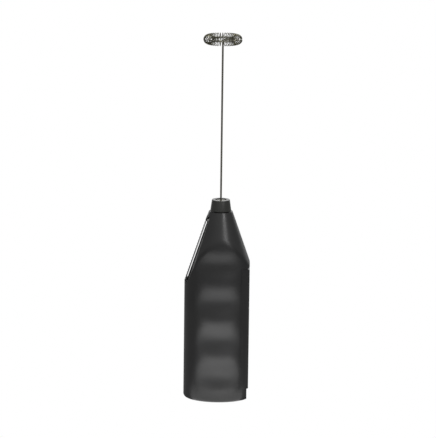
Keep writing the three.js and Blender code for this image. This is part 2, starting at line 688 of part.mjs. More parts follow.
const capPocketRadius = MOTOR_BOSS_RADIUS - CAN_SHEET;
const rearBushTopZ = motorZ + CAP_FLOOR + RUNNING_GAP + REAR_BUSH_LENGTH;

function motorEndCap() {
  const spigotTop = motorCapTopZ - FIT_GAP;
  const terminalSlot = (side) => block(
    SHAFT_X + side * TERMINAL_X - TERMINAL_THICKNESS / 2 - FIT_GAP,
    SHAFT_X + side * TERMINAL_X + TERMINAL_THICKNESS / 2 + FIT_GAP,
    -TERMINAL_WIDTH / 2 - FIT_GAP, TERMINAL_WIDTH / 2 + FIT_GAP, motorZ - 1, motorCapTopZ + 1);
  return lengthwise(motorOutline(0), motorZ, spigotTop)
    .subtract(lengthwise(motorOutline(CAN_SHEET * 2), motorZ + 2 * CAP_FLOOR, motorCapTopZ + 1))
    .add(post(capPocketRadius + 1, motorZ, rearBushTopZ + FIT_GAP))
    .subtract(post(capPocketRadius + RUNNING_GAP, motorZ + CAP_FLOOR, motorCapTopZ))
    .subtract(terminalSlot(-1))
    .subtract(terminalSlot(1));
}

function terminal(side) {
  const x = SHAFT_X + side * TERMINAL_X;
  return block(x - TERMINAL_THICKNESS / 2, x + TERMINAL_THICKNESS / 2,
    -TERMINAL_WIDTH / 2, TERMINAL_WIDTH / 2, motorZ - TERMINAL_STICK_OUT, rearBushTopZ + 2 * FIT_GAP);
}

const frontBush = () => sleeve(capPocketRadius - RUNNING_GAP, MOTOR_SHAFT_RADIUS + RUNNING_GAP / 2,
  motorTopZ - CAN_SHEET, motorBossTopZ - CAN_SHEET - RUNNING_GAP);
const rearBush = () => sleeve(capPocketRadius, MOTOR_SHAFT_RADIUS + RUNNING_GAP / 2,
  rearBushTopZ - REAR_BUSH_LENGTH, rearBushTopZ);

const rotorZ = motorCapTopZ + 4 * WINDING_OVERHANG;
const rotorTopZ = motorTopZ - CAN_SHEET - 2 * WINDING_OVERHANG;

function magnet(side) {
  const outer = MOTOR_WIDTH / 2 - CAN_SHEET - FIT_GAP;
  const inner = ROTOR_RADIUS + AIR_GAP;
  const ring = sleeve(outer, inner, rotorZ - 1, rotorTopZ + 1, 40);
  const half = MOTOR_DEPTH / 2 - CAN_SHEET - FIT_GAP;
  const x0 = side < 0 ? -FAR : SHAFT_X + MAGNET_SPLIT;
  const x1 = side < 0 ? SHAFT_X - MAGNET_SPLIT : FAR;
  return ring.intersect(block(x0, x1, -half, half, 0, FAR * 3));
}

const motorShaft = () => post(MOTOR_SHAFT_RADIUS, motorZ + CAP_FLOOR + FIT_GAP, motorShaftTopZ);

// The laminated rotor: a hub, three necks and three pole shoes.
function rotorStack() {
  const shoe = sleeve(ROTOR_RADIUS, ROTOR_RADIUS - SHOE_THICKNESS, rotorZ, rotorTopZ, 36);
  let rotor = post(ROTOR_HUB_RADIUS, rotorZ, rotorTopZ).add(shoe);
  for (let pole = 0; pole < 3; pole += 1) {
    const turn = (pole * 2 * Math.PI) / 3;
    rotor = rotor
      .add(poleBlock(turn, 0, ROTOR_RADIUS - SHOE_THICKNESS / 2, ROTOR_NECK_HALF, rotorZ, rotorTopZ))
      .subtract(poleBlock(
        turn + Math.PI / 3, ROTOR_RADIUS / 2, FAR, SHOE_GAP / 2, rotorZ - 1, rotorTopZ + 1));
  }
  return rotor.subtract(post(MOTOR_SHAFT_RADIUS + RUNNING_GAP / 2, rotorZ - 1, rotorTopZ + 1));
}

// A block that reaches out from the shaft along one pole.
function poleBlock(turn, r0, r1, halfWidth, z0, z1) {
  const geometry = new THREE.BoxGeometry(r1 - r0, 2 * halfWidth, z1 - z0);
  geometry.translate((r0 + r1) / 2, 0, (z0 + z1) / 2);
  geometry.rotateZ(turn);
  geometry.translate(SHAFT_X, 0, 0);
  return solidOf(geometry);
}

// One pole's winding: a squared ring of wire about the pole's neck.
function winding(pole) {
  const turn = (pole * 2 * Math.PI) / 3;
  const inner = ROTOR_NECK_HALF + RUNNING_GAP;
  const neck0 = ROTOR_HUB_RADIUS + 2.2 * RUNNING_GAP;
  const neck1 = ROTOR_RADIUS - SHOE_THICKNESS - 2 * RUNNING_GAP;
  const z0 = rotorZ - WINDING_OVERHANG;
  const z1 = rotorTopZ + WINDING_OVERHANG;
  return poleBlock(turn, neck0, neck1, inner + WINDING_THICKNESS, z0, z1)
    .subtract(poleBlock(turn, 0, FAR, inner, rotorZ - RUNNING_GAP, rotorTopZ + RUNNING_GAP))
    .intersect(post(neck1, z0 - 1, z1 + 1, { sides: 36 }))
    .intersect(windingSector(turn, neck1));
}

// Keeps a winding inside its own third of the rotor.
function windingSector(turn, reach) {
  const sector = new THREE.Shape();
  const half = Math.PI / 3 - 0.06;
  sector.moveTo(0, 0);
  sector.lineTo(2 * reach * Math.cos(turn - half), 2 * reach * Math.sin(turn - half));
  sector.lineTo(4 * reach * Math.cos(turn), 4 * reach * Math.sin(turn));
  sector.lineTo(2 * reach * Math.cos(turn + half), 2 * reach * Math.sin(turn + half));
  sector.closePath();
  const geometry = new THREE.ExtrudeGeometry(sector, { depth: FAR * 2, bevelEnabled: false });
  geometry.translate(SHAFT_X, 0, 0);
  return solidOf(geometry);
}

const commutator = () => sleeve(COMMUTATOR_RADIUS, MOTOR_SHAFT_RADIUS + RUNNING_GAP / 2,
  rearBushTopZ + FIT_GAP, rotorZ - WINDING_OVERHANG - FIT_GAP);

// A frame that sits across the casing and grips the motor's end.
function motorCradle() {
  const z0 = motorCapTopZ - 1;
  const frame = block(SHAFT_X - MOTOR_WIDTH / 2 - CRADLE_LEFT,
    SHAFT_X + MOTOR_WIDTH / 2 + CRADLE_RIGHT, -FAR, FAR, z0, z0 + CRADLE_HEIGHT);
  return frame.intersect(casingInside(FIT_GAP))
    .subtract(lengthwise(motorOutline(-FIT_GAP), z0 - 1, z0 + CRADLE_HEIGHT + 1));
}

// ---- Leads --------------------------------------------------------------------------------

function lead(points) {
  const corners = points.map((p) => new THREE.Vector3(...p));
  const curve = new THREE.CatmullRomCurve3(corners, false, 'centripetal');
  return solidOf(alongPath(curve, LEAD_RADIUS, 22, 6));
}

// From a contact plate's edge out and up through the bulkhead; side is -1 at the front.
function upThroughBulkhead(x, side) {
  const z = topPlateZ - FIT_GAP / 2;
  return [
    [x, side * (LEAD_HOLE_Y - 2.5), z], [x, side * (LEAD_HOLE_Y - 0.8), z],
    [x, side * LEAD_HOLE_Y, bulkheadZ + 0.3], [x, side * LEAD_HOLE_Y, bulkheadTopZ + 0.3],
  ];
}

const solderZ = carrierTopZ + 1.2;
const terminalZ = motorZ - TERMINAL_STICK_OUT + 1.1;

function leadCellToSwitch() {
  const x = leafX + LEAF_THICKNESS / 2;
  return lead([
    ...upThroughBulkhead(leftCellX - LEAD_HOLE_BACK, -1),
    [leftCellX - 3.6, -8.2, bulkheadTopZ + 2.4], [x + 1.8, -6.0, solderZ - 1.4],
    [x + 0.2, -4.0, solderZ], [x, -2.3, solderZ],
  ]);
}

function leadSwitchToMotor() {
  const x = contactX + LEAF_THICKNESS / 2;
  const end = SHAFT_X - TERMINAL_X - 0.2 - FIT_GAP;
  return lead([
    [x, 2.2, solderZ], [x, 4.2, solderZ - 0.4], [x + 2, 4.6, terminalZ + 0.5],
    [end - 2.4, 2.0, terminalZ], [end, 0, terminalZ],
  ]);
}

function leadMotorToCell() {
  const x = SHAFT_X + TERMINAL_X;
  return lead([
    ...upThroughBulkhead(rightCellX - LEAD_HOLE_BACK, 1),
    [x - 1.6, 7.4, terminalZ - 0.5], [x, 4.0, terminalZ],
    [x, TERMINAL_WIDTH / 2 + FIT_GAP, terminalZ],
  ]);
}

// ---- Spinning parts -----------------------------------------------------------------------

function shaftCoupler() {
  const middle = motorShaftTopZ + FIT_GAP;
  return post(COUPLER_RADIUS, couplerZ, couplerTopZ)
    .subtract(post(MOTOR_SHAFT_RADIUS + RUNNING_GAP / 2, couplerZ - 1, middle))
    .subtract(post(WHISK_WIRE_RADIUS + RUNNING_GAP / 2, middle - 0.01, couplerTopZ + 1));
}

const ringRadius = RING_OUTER_RADIUS - COIL_OUTER_RADIUS;

// A flat arc about the shaft at the ring's height.
class RingArc extends THREE.Curve {
  constructor(start, sweep) {
    super();
    Object.assign(this, { start, sweep });
  }

  getPoint(t, target = new THREE.Vector3()) {
    const angle = this.start + this.sweep * t;
    return target.set(SHAFT_X + ringRadius * Math.cos(angle), ringRadius * Math.sin(angle), RING_CENTRE_Z);
  }
}

// The bent end of the whisk wire: up the shaft, out along a spoke and round the hoop.
function hoopPath() {
  const path = new THREE.CurvePath();
  const z = RING_CENTRE_Z;
  const turnIn = SPOKE_BEND / ringRadius;
  const at = (x, y, h) => new THREE.Vector3(SHAFT_X + x, y, h);
  const hoopStart = at(ringRadius * Math.cos(turnIn), ringRadius * Math.sin(turnIn), z);
  path.add(new THREE.LineCurve3(at(0, 0, z - 2 * SPOKE_BEND), at(0, 0, z - SPOKE_BEND)));
  path.add(new THREE.QuadraticBezierCurve3(at(0, 0, z - SPOKE_BEND), at(0, 0, z), at(SPOKE_BEND, 0, z)));
  path.add(new THREE.LineCurve3(at(SPOKE_BEND, 0, z), at(ringRadius - SPOKE_BEND, 0, z)));
  path.add(new THREE.QuadraticBezierCurve3(
    at(ringRadius - SPOKE_BEND, 0, z), at(ringRadius, 0, z), hoopStart));
  path.add(new RingArc(turnIn, 2 * Math.PI - turnIn * 2.6));
  return path;
}

function whiskWire() {
  const hoop = solidOf(alongPath(hoopPath(), WHISK_WIRE_RADIUS, 64, 8));
  const foot = motorShaftTopZ + 2 * FIT_GAP;
  const bendZ = RING_CENTRE_Z - 2 * SPOKE_BEND + 0.05;
  return post(WHISK_WIRE_RADIUS, foot, bendZ, { sides: 16 }).add(hoop);
}

// The coil threaded on the hoop.
class CoilOnHoop extends THREE.Curve {
  getPoint(t, target = new THREE.Vector3()) {
    const clear = 0.12;
    const round = clear + (2 * Math.PI - 2 * clear) * t;
    const twist = t * COIL_TURNS * 2 * Math.PI;
    const coilRadius = COIL_OUTER_RADIUS - COIL_WIRE_RADIUS;
    const reach = ringRadius + coilRadius * Math.cos(twist);
    return target.set(SHAFT_X + reach * Math.cos(round), reach * Math.sin(round),
      RING_CENTRE_Z + coilRadius * Math.sin(twist));
  }
}

const whiskCoil = () => solidOf(alongPath(new CoilOnHoop(), COIL_WIRE_RADIUS, COIL_TURNS * 8, 4));

// ---- Assembly -----------------------------------------------------------------------------

const blackPlastic = { color: 0x1b1b1c, roughness: 0.42, metalness: 0 };
const darkPlastic = { color: 0x232321, roughness: 0.55, metalness: 0 };
const palePlastic = { color: 0xd8d4c8, roughness: 0.5, metalness: 0 };
const steel = { color: 0xb9b7ae, roughness: 0.25, metalness: 1 };
const bronze = { color: 0x9a7a4a, roughness: 0.5, metalness: 1 };
const brass = { color: 0xc9a85a, roughness: 0.35, metalness: 1 };
const copper = { color: 0xb4623a, roughness: 0.4, metalness: 1 };
const ferrite = { color: 0x3a3838, roughness: 0.8, metalness: 0 };
const rubber = { color: 0x77766f, roughness: 0.7, metalness: 0 };
const cellWrap = { color: 0x3f6f4a, roughness: 0.35, metalness: 0 };
const redLead = { color: 0xa82020, roughness: 0.5, metalness: 0 };
const blackLead = { color: 0x202020, roughness: 0.5, metalness: 0 };

const frother = new THREE.Group();

function place(name, solid, finish) {
  const mesh = new THREE.Mesh(geometryOf(solid), new THREE.MeshStandardMaterial(finish));
  mesh.name = name;
  frother.add(mesh);
}

place('front_housing', wholeCasing.intersect(frontHalf), blackPlastic);
place('rear_housing', wholeCasing.intersect(rearHalf), blackPlastic);
place('battery_cover', batteryCover(), blackPlastic);
place('nose_collar', noseCollar(), darkPlastic);
place('nose_seal', noseSeal(), rubber);
place('nose_bush', noseBush(), bronze);

place('switch_lever', switchLever(), darkPlastic);
place('lever_pin', leverPin(), steel);
place('switch_leaf', switchLeaf(), copper);
place('switch_contact', switchContact(), copper);
place('switch_carrier', switchCarrier(), palePlastic);

place('cell_left', cell(leftCellX, leftCellZ, true), cellWrap);
place('cell_right', cell(rightCellX, rightCellZ, false), cellWrap);
place('base_bridge', baseBridge(), steel);
place('base_spring', contactSpring(leftCellX, basePlateTopZ, leftCellZ), steel);
place('top_contact', topPlate(leftCellX), steel);
place('top_spring_plate', topPlate(rightCellX), steel);
place('top_spring', contactSpring(rightCellX, topPlateZ, rightCellZ + CELL_LENGTH), steel);
place('contact_bulkhead', contactBulkhead(), palePlastic);

place('motor_can', motorCan(), steel);
place('motor_end_cap', motorEndCap(), palePlastic);
place('motor_front_bush', frontBush(), bronze);
place('motor_rear_bush', rearBush(), bronze);
place('magnet_left', magnet(-1), ferrite);
place('magnet_right', magnet(1), ferrite);
place('terminal_left', terminal(-1), brass);
place('terminal_right', terminal(1), brass);
place('motor_cradle', motorCradle(), palePlastic);

place('lead_cell_to_switch', leadCellToSwitch(), redLead);
place('lead_switch_to_motor', leadSwitchToMotor(), redLead);
place('lead_motor_to_cell', leadMotorToCell(), blackLead);

place('motor_shaft', motorShaft(), steel);
place('rotor_stack', rotorStack(), steel);
for (let pole = 0; pole < 3; pole += 1) {
  place(`winding_${pole + 1}`, winding(pole), copper);
}
place('commutator', commutator(), copper);
place('shaft_coupler', shaftCoupler(), palePlastic);
place('whisk_wire', whiskWire(), steel);
place('whisk_coil', whiskCoil(), steel);

export default frother;
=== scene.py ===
import math

import bmesh
import bpy
from mathutils import Matrix, Vector


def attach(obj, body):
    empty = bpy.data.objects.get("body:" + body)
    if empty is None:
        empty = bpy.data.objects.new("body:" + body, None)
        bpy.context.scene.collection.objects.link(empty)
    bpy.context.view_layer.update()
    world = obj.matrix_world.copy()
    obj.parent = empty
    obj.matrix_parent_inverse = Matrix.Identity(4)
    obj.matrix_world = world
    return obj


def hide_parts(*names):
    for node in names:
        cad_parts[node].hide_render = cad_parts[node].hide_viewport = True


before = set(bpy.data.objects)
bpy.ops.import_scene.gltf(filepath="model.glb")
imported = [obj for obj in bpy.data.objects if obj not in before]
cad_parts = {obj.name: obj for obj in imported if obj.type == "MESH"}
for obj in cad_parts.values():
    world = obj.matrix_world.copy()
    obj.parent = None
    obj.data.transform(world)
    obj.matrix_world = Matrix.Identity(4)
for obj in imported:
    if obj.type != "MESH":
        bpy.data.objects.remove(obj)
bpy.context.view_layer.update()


# ---- Table, backdrop and lights -----------------------------------------------------------
# A white table and a white backdrop, both lit evenly enough that they burn out and throw no shadow.
# The room in front stays dim. A tall soft box stands to the right of the camera, and
# three bright cards lie on the table in front of the frother's foot.

CAMERA_PLACE = Vector((0.0, -1.6, 0.4533))
CAMERA_AIM = Vector((0.00015, 0.0, 0.10677))
CAMERA_ROLL = math.radians(0.725)
CAMERA_LENS = 231.5
TABLE_HALF_WIDTH = 4.0
TABLE_GLOW = 0.28
ROOM_FRONT, ROOM_SIDE, ROOM_HIGH = 0.4, 0.2, 0.5
BACKDROP_GLOW = 1.6
CARD_DROP, CARD_HEIGHT = 0.1, 0.0003

scene = bpy.context.scene
scene.view_settings.view_transform = "Standard"
scene.view_settings.look = "None"


class Strand:
    """One output of a finish's node tree. Sums on it add Math nodes."""

    def __init__(self, finish, socket):
        self.finish, self.socket = finish, socket

    def __add__(self, other):
        return self.finish.maths("ADD", self, other)

    def __radd__(self, other):
        return self.finish.maths("ADD", other, self)

    def __sub__(self, other):
        return self.finish.maths("SUBTRACT", self, other)

    def __rsub__(self, other):
        return self.finish.maths("SUBTRACT", other, self)

    def __mul__(self, other):
        return self.finish.maths("MULTIPLY", self, other)

    def __rmul__(self, other):
        return self.finish.maths("MULTIPLY", other, self)


class Finish:
    """A node tree being put together, for a material or for the world."""

    def __init__(self, owner):
        owner.use_nodes = True
        self.owner, self.tree = owner, owner.node_tree
        self.tree.nodes.clear()

    def node(self, kind, settings=None, sockets=None, output=0):
        made = self.tree.nodes.new(kind)
        for key, value in (settings or {}).items():
            setattr(made, key, value)
        self.fill(made, sockets or {})
        return Strand(self, made.outputs[output]) if len(made.outputs) else made

    def fill(self, made, sockets):
        for key, value in sockets.items():
            if isinstance(value, Strand):
                self.tree.links.new(value.socket, made.inputs[key])
            else:
                made.inputs[key].default_value = value

    def maths(self, operation, first, second):
        return self.node("ShaderNodeMath", {"operation": operation}, {0: first, 1: second})

    def between(self, value, low, high):
        """0 where value is at low, 1 at high, and a straight line between."""
        return self.node("ShaderNodeMapRange", {"clamp": True},
                         {"Value": value, "From Min": low, "From Max": high})

    def blend(self, share, first, second):
        """The colour first where share is 0, and second where it is 1."""
        return self.node("ShaderNodeMix", {"data_type": "RGBA"},
                         {"Factor": share, 6: first, 7: second}, output=2)


def room_light():
    """The backdrop is seen as white; the pieces see a bright back of the room and a dim front.

    The limits are shares of a unit direction: back runs from -1 in front to 1, up from -1 to 1.
    """
    room = Finish(bpy.data.worlds.new("room"))
    way = room.node("ShaderNodeTexCoord", output=0)
    apart = room.node("ShaderNodeSeparateXYZ", {}, {"Vector": way})
    back = Strand(room, apart.socket.node.outputs[1])
    up = Strand(room, apart.socket.node.outputs[2])
    low = 1.0 - room.between(up, 0.2, 0.45)
    glow = room.between(back, 0.62, 0.85) * low * (BACKDROP_GLOW - ROOM_SIDE) + ROOM_SIDE
    glow = glow + room.between(back, -0.6, -0.95) * (ROOM_FRONT - ROOM_SIDE)
    glow = glow + room.between(up, 0.12, 0.4) * ROOM_HIGH
    seen = room.node("ShaderNodeLightPath", output=0)
    strength = seen + (1.0 - seen) * glow
    light = room.node("ShaderNodeBackground", {}, {"Color": (1, 1, 1, 1), "Strength": strength})
    room.node("ShaderNodeOutputWorld", {}, {"Surface": light})
    return room.owner


def white_table():
    shape = bmesh.new()
    bmesh.ops.create_grid(shape, x_segments=1, y_segments=1, size=TABLE_HALF_WIDTH)
    mesh = bpy.data.meshes.new("table")
    shape.to_mesh(mesh)
    shape.free()
    table = bpy.data.objects.new("table", mesh)
    scene.collection.objects.link(table)
    sheet = Finish(bpy.data.materials.new("lit_table"))
    seen = sheet.node("ShaderNodeLightPath", output=0)
    strength = seen + (1.0 - seen) * TABLE_GLOW
    light = sheet.node("ShaderNodeEmission", {}, {"Color": (1, 1, 1, 1), "Strength": strength})
    sheet.node("ShaderNodeOutputMaterial", {}, {"Surface": light})
    mesh.materials.append(sheet.owner)


def soft_box(name, distance, side_turn, height_turn, width, height, power, aim=CAMERA_AIM):
    """An area light that faces the point aim, turned to the camera's right and lifted by degrees."""
    lamp = bpy.data.lights.new(name, "AREA")
    lamp.shape, lamp.size, lamp.size_y, lamp.energy = "RECTANGLE", width, height, power
    box = bpy.data.objects.new(name, lamp)
    scene.collection.objects.link(box)
    turn, lift = math.radians(side_turn), math.radians(height_turn)
    way = Vector((math.sin(turn) * math.cos(lift), -math.cos(turn) * math.cos(lift), math.sin(lift)))
    box.location = aim + way * distance
    box.rotation_euler = way.to_track_quat("Z", "Y").to_euler()
    box.visible_camera = False


def set_camera():
    camera = bpy.data.objects.new("camera", bpy.data.cameras.new("camera"))
    scene.collection.objects.link(camera)
    camera.data.lens = CAMERA_LENS
    aimed = (CAMERA_AIM - CAMERA_PLACE).to_track_quat("-Z", "Y").to_matrix().to_4x4()
    camera.matrix_world = Matrix.Translation(CAMERA_PLACE) @ aimed @ Matrix.Rotation(CAMERA_ROLL, 4, "Z")
    scene.camera = camera


scene.world = room_light()
white_table()
soft_box("tall_box", 1.1, 31, 27, 0.22, 0.5, 2.5)
# Each card: how far its two edges lie in front of the casing's middle, its width, its glow.
for name, near, far, width, glow in [("near_card", 0.010, 0.045, 0.080, 1.3),
                                     ("mid_card", 0.045, 0.110, 0.130, 2.5),
                                     ("far_card", 0.110, 0.190, 0.250, 2.1)]:
    depth = far - near
    soft_box(name, CARD_DROP, 0, -90, width, depth, glow * math.pi * width * depth,
             aim=Vector((0.0, -(near + far) / 2, CARD_DROP + CARD_HEIGHT)))
set_camera()


# ---- Front and rear housing ---------------------------------------------------------------
# Two half shells of black ABS, split along the sides, that close round the motor and the cells.
# An oval column with a cone turned on its top, and finger waves pressed in the front and rear.

MM = 0.001
SHAFT_X, LEFT_X, RIGHT_X = 1.7, -19.0, 19.0
OVAL_HALF_WIDTH, OVAL_HALF_DEPTH, FACE_LEAN = 19.9, 15.2, 0.027
OVAL_X = LEFT_X + OVAL_HALF_WIDTH
WALL, BASE_THICKNESS, BASE_FILLET = 1.8, 1.8, 2.0
SHELL_GAP, FIT_GAP, RUNNING_GAP = 0.3, 0.3, 0.1
CONE_TOP_Z, CONE_TOP_RADIUS, CONE_SLOPE = 111.6, 6.85, 0.353
NECK_RADIUS, NECK_HEIGHT = 4.2, 4.0
NECK_TOP_Z = CONE_TOP_Z + NECK_HEIGHT
WAVE_PITCH, WAVE_DEPTH, FIRST_RIDGE_Z, WAVE_COUNT, WAVE_HALF_WIDTH = 21.6, 1.0, 5.6, 4, 15.5
EDGE_SOFTNESS = 0.9
FLAT_SOFTNESS = 0.25
FAR = 60.0

COVER_BOTTOM_Z, COVER_TOP_Z, COVER_EDGE_X = 6.8, 78.6, 14.2
COVER_THICKNESS, COVER_GAP, BASE_SET_BACK = 1.5, 0.12, 0.9
NAIL_GROOVE_DEPTH = 1.0
BAY_HALF_DEPTH = 7.7
WINDOW_X, WINDOW_TOP_Z = 1.45, 57.9

LEVER_SLOPE, CHANNEL_DEPTH, CHANNEL_CROWN = 0.332, 1.1, 0.1
LEVER_TOP_Z, LEVER_LENGTH = 108.9, 40.30
KNUCKLE_RADIUS, KNUCKLE_WIDTH, KNUCKLE_ALONG, KNUCKLE_IN = 1.5, 3.2, 1.8, -1.35
PIN_RADIUS, PIN_LENGTH = 0.7, 7.2
FOOT_ALONG, FOOT_HEIGHT, FOOT_WIDTH = 38.245, 2.0, 2.4
BUSH_RADIUS, BUSH_Z = 2.4, 107.3
COUPLER_RADIUS = 3.0
COUPLER_ROOM, SHELF_DROP = 15.0, 1.5
EAR_WALL, EAR_INSET = 0.8, 0.2
LAP = 0.01


def cone_radius(z):
    return CONE_TOP_RADIUS + CONE_SLOPE * (CONE_TOP_Z - z)


def soft_least(first, second, softness):
    """The lesser of two sizes, rounded where they are nearly equal."""
    near = max(softness - abs(first - second), 0.0) / softness
    return min(first, second) - near * near * softness / 4


def wave_depth(x, z):
    """How far the finger waves press the face in."""
    if not FIRST_RIDGE_Z < z < FIRST_RIDGE_Z + WAVE_COUNT * WAVE_PITCH:
        return 0.0
    across = min(abs(x - SHAFT_X) / WAVE_HALF_WIDTH, 1.0)
    turn = 2 * math.pi * (z - FIRST_RIDGE_Z) / WAVE_PITCH
    return WAVE_DEPTH * (1 - across ** 4) ** 2 * (1 - math.cos(turn)) / 2


def loose(shape, name="tool"):
    """A bmesh in millimetres, as a scratch object for the cuts and joins."""
    bmesh.ops.recalc_face_normals(shape, faces=shape.faces)
    mesh = bpy.data.meshes.new(name)
    shape.to_mesh(mesh)
    shape.free()
    made = bpy.data.objects.new(name, mesh)
    scene.collection.objects.link(made)
    return made


def slab(x0, x1, y0, y1, z0, z1):
    shape = bmesh.new()
    bmesh.ops.create_cube(shape, size=1)
    bmesh.ops.scale(shape, vec=(x1 - x0, y1 - y0, z1 - z0), verts=shape.verts)
    bmesh.ops.translate(shape, vec=((x0 + x1) / 2, (y0 + y1) / 2, (z0 + z1) / 2), verts=shape.verts)
    return loose(shape)


def rod(radius, z0, z1, top=None, sides=64, x=SHAFT_X, y=0.0):
    shape = bmesh.new()
    bmesh.ops.create_cone(shape, cap_ends=True, segments=sides, radius1=radius,
                          radius2=radius if top is None else top, depth=z1 - z0)
    bmesh.ops.translate(shape, vec=(x, y, (z0 + z1) / 2), verts=shape.verts)
    return loose(shape)


def cross_bar(radius, length, x, z, sides=40):
    """A round bar from front to rear."""
    shape = bmesh.new()
    bmesh.ops.create_cone(shape, cap_ends=True, segments=sides, radius1=radius, radius2=radius,
                          depth=length)
    bmesh.ops.rotate(shape, matrix=Matrix.Rotation(math.pi / 2, 3, "X"), verts=shape.verts)
    bmesh.ops.translate(shape, vec=(x, 0, z), verts=shape.verts)
    return loose(shape)


def combine(body, operation, *tools):
    """Cuts, joins or crosses body with each tool in turn, and uses the tools up."""
    for tool in tools:
        step = body.modifiers.new(operation, "BOOLEAN")
        step.operation, step.object, step.solver = operation, tool, "MANIFOLD"
        worked = bpy.data.meshes.new_from_object(
            body.evaluated_get(bpy.context.evaluated_depsgraph_get()))
        body.modifiers.clear()
        body.data = worked
        bpy.data.objects.remove(tool)
    return body


def finished(piece, name, material, body, slot, *nodes, crease=32):
    """Brings a piece to metres, shades it, gives it its material and body, and hides the CAD nodes it
    stands in for.
    """
    piece.name = piece.data.name = name
    piece.data.transform(Matrix.Scale(MM, 4))
    piece.data.shade_smooth()
    piece.data.set_sharp_from_angle(angle=math.radians(crease))
    piece.data.materials.clear()
    piece.data.materials.append(material)
    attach(piece, body)
    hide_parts(*nodes)
    return piece


def casing_form(inset, low, high, around, layers, outside=False):
    """The casing's oval column with its cone, drawn in by inset, between two heights."""
    fillet_share = 0.06 if outside else 0.0
    shape = bmesh.new()
    bmesh.ops.create_cone(shape, cap_ends=True, segments=around, radius1=1, radius2=1, depth=1)
    upright = [e for e in shape.edges if abs(e.verts[0].co.z - e.verts[1].co.z) > 0.5]
    bmesh.ops.subdivide_edges(shape, edges=upright, cuts=layers - 1)
    for corner in shape.verts:
        share = corner.co.z + 0.5
        drawn_in, z = inset, low + (high - low) * share
        if outside:
            turn = min(share / fillet_share, 1.0) * math.pi / 2
            drawn_in = BASE_FILLET * (1 - math.sin(turn))
            z = BASE_FILLET * (1 - math.cos(turn))
            z += max(share - fillet_share, 0.0) / (1 - fillet_share) * (high - BASE_FILLET)
        x = OVAL_X + corner.co.x * (OVAL_HALF_WIDTH - drawn_in)
        y = corner.co.y * (OVAL_HALF_DEPTH - drawn_in - FACE_LEAN * z)
        if outside:
            y -= math.copysign(wave_depth(x, z) * abs(corner.co.y), y)
        out = math.hypot(x - SHAFT_X, y)
        reach = cone_radius(z) - inset * math.hypot(1, CONE_SLOPE)
        share_out = soft_least(out, reach, EDGE_SOFTNESS) / out
        x = SHAFT_X + (x - SHAFT_X) * share_out
        if outside:
            x = soft_least(x, RIGHT_X, FLAT_SOFTNESS)
        corner.co = (x, y * share_out, z)
    return loose(shape)


def backing(inset):
    """The oval and its flat right side, both drawn in."""
    return combine(casing_form(inset, -1, CONE_TOP_Z - WALL, 256, 60), "INTERSECT",
                   slab(-FAR, RIGHT_X - inset, -FAR, FAR, -2, FAR * 3))


def casing_room():
    """The room inside the casing, narrower towards the cover's ledge."""
    right = RIGHT_X - BASE_SET_BACK - WALL
    ledge = COVER_EDGE_X - 2 * WALL
    allowed = combine(slab(-FAR, ledge, -FAR, FAR, -1, FAR * 3), "UNION",
                      slab(ledge - 1, right, -BAY_HALF_DEPTH, BAY_HALF_DEPTH, -1, FAR * 3))
    return combine(casing_form(WALL, BASE_THICKNESS, CONE_TOP_Z - WALL, 128, 60),
                   "INTERSECT", allowed)


lever_angle = math.atan(LEVER_SLOPE)
slope_down = Vector((-math.sin(lever_angle), 0, -math.cos(lever_angle)))
slope_out = Vector((-math.cos(lever_angle), 0, math.sin(lever_angle)))
slope_frame = Matrix((slope_down, Vector((0, -1, 0)), slope_out)).transposed().to_4x4()
slope_frame.translation = Vector((SHAFT_X - cone_radius(LEVER_TOP_Z), 0, LEVER_TOP_Z))
pin_point = slope_frame @ Vector((KNUCKLE_ALONG, 0, KNUCKLE_IN))


def slope_slab(along0, along1, half_width, in0, out1):
    """A block in the lever's sloping frame: along it, across it and out from it."""
    made = slab(along0, along1, -half_width, half_width, in0, out1)
    made.data.transform(slope_frame)
    return made


def pin_ears():
    """Two ears on the inside of the casing that hold the lever's pin."""
    reach = KNUCKLE_RADIUS + 2 * FIT_GAP
    inner = KNUCKLE_WIDTH / 2 + FIT_GAP
    outer = PIN_LENGTH / 2 + EAR_WALL
    ears = slope_slab(KNUCKLE_ALONG - reach, KNUCKLE_ALONG + reach, outer, KNUCKLE_IN - reach,
                      -CHANNEL_DEPTH)
    combine(ears, "DIFFERENCE", slope_slab(-FAR, FAR, inner, -FAR, FAR))
    return combine(ears, "INTERSECT", casing_form(EAR_INSET, 1, CONE_TOP_Z, 128, 60))


def channel_side(side):
    """Half of the channel behind the lever: its floor falls away from the crown."""
    made = slab(-FIT_GAP, LEVER_LENGTH + FIT_GAP, -0.5, FAR / 2, 0, FAR / 4)
    made.data.transform(Matrix.Rotation(-math.atan(CHANNEL_CROWN), 4, "X"))
    made.data.transform(Matrix.Diagonal((1, side, 1, 1)))
    if side < 0:
        made.data.flip_normals()
    made.data.transform(slope_frame @ Matrix.Translation((0, 0, -CHANNEL_DEPTH)))
    return made


def lever_cuts():
    """The channel behind the lever, the pocket of its knuckle and the slot of its foot."""
    pocket = slope_slab(-FIT_GAP, KNUCKLE_ALONG + KNUCKLE_RADIUS + 2 * FIT_GAP,
                        KNUCKLE_WIDTH / 2 + FIT_GAP, KNUCKLE_IN - KNUCKLE_RADIUS - 2 * FIT_GAP, 1)
    slot = slope_slab(FOOT_ALONG - FIT_GAP, FOOT_ALONG + FOOT_HEIGHT + FIT_GAP,
                      FOOT_WIDTH / 2 + FIT_GAP, -CHANNEL_DEPTH - 2 * WALL, 1)
    return [channel_side(-1), channel_side(1), pocket, slot]


def cover_seat():
    """What is cut away for the battery cover, down to the wall behind it."""
    sill = slab(COVER_EDGE_X - COVER_GAP, FAR, -FAR, FAR, COVER_BOTTOM_Z - COVER_GAP,
                COVER_TOP_Z + COVER_GAP)
    return combine(sill, "DIFFERENCE", backing(COVER_THICKNESS + COVER_GAP))


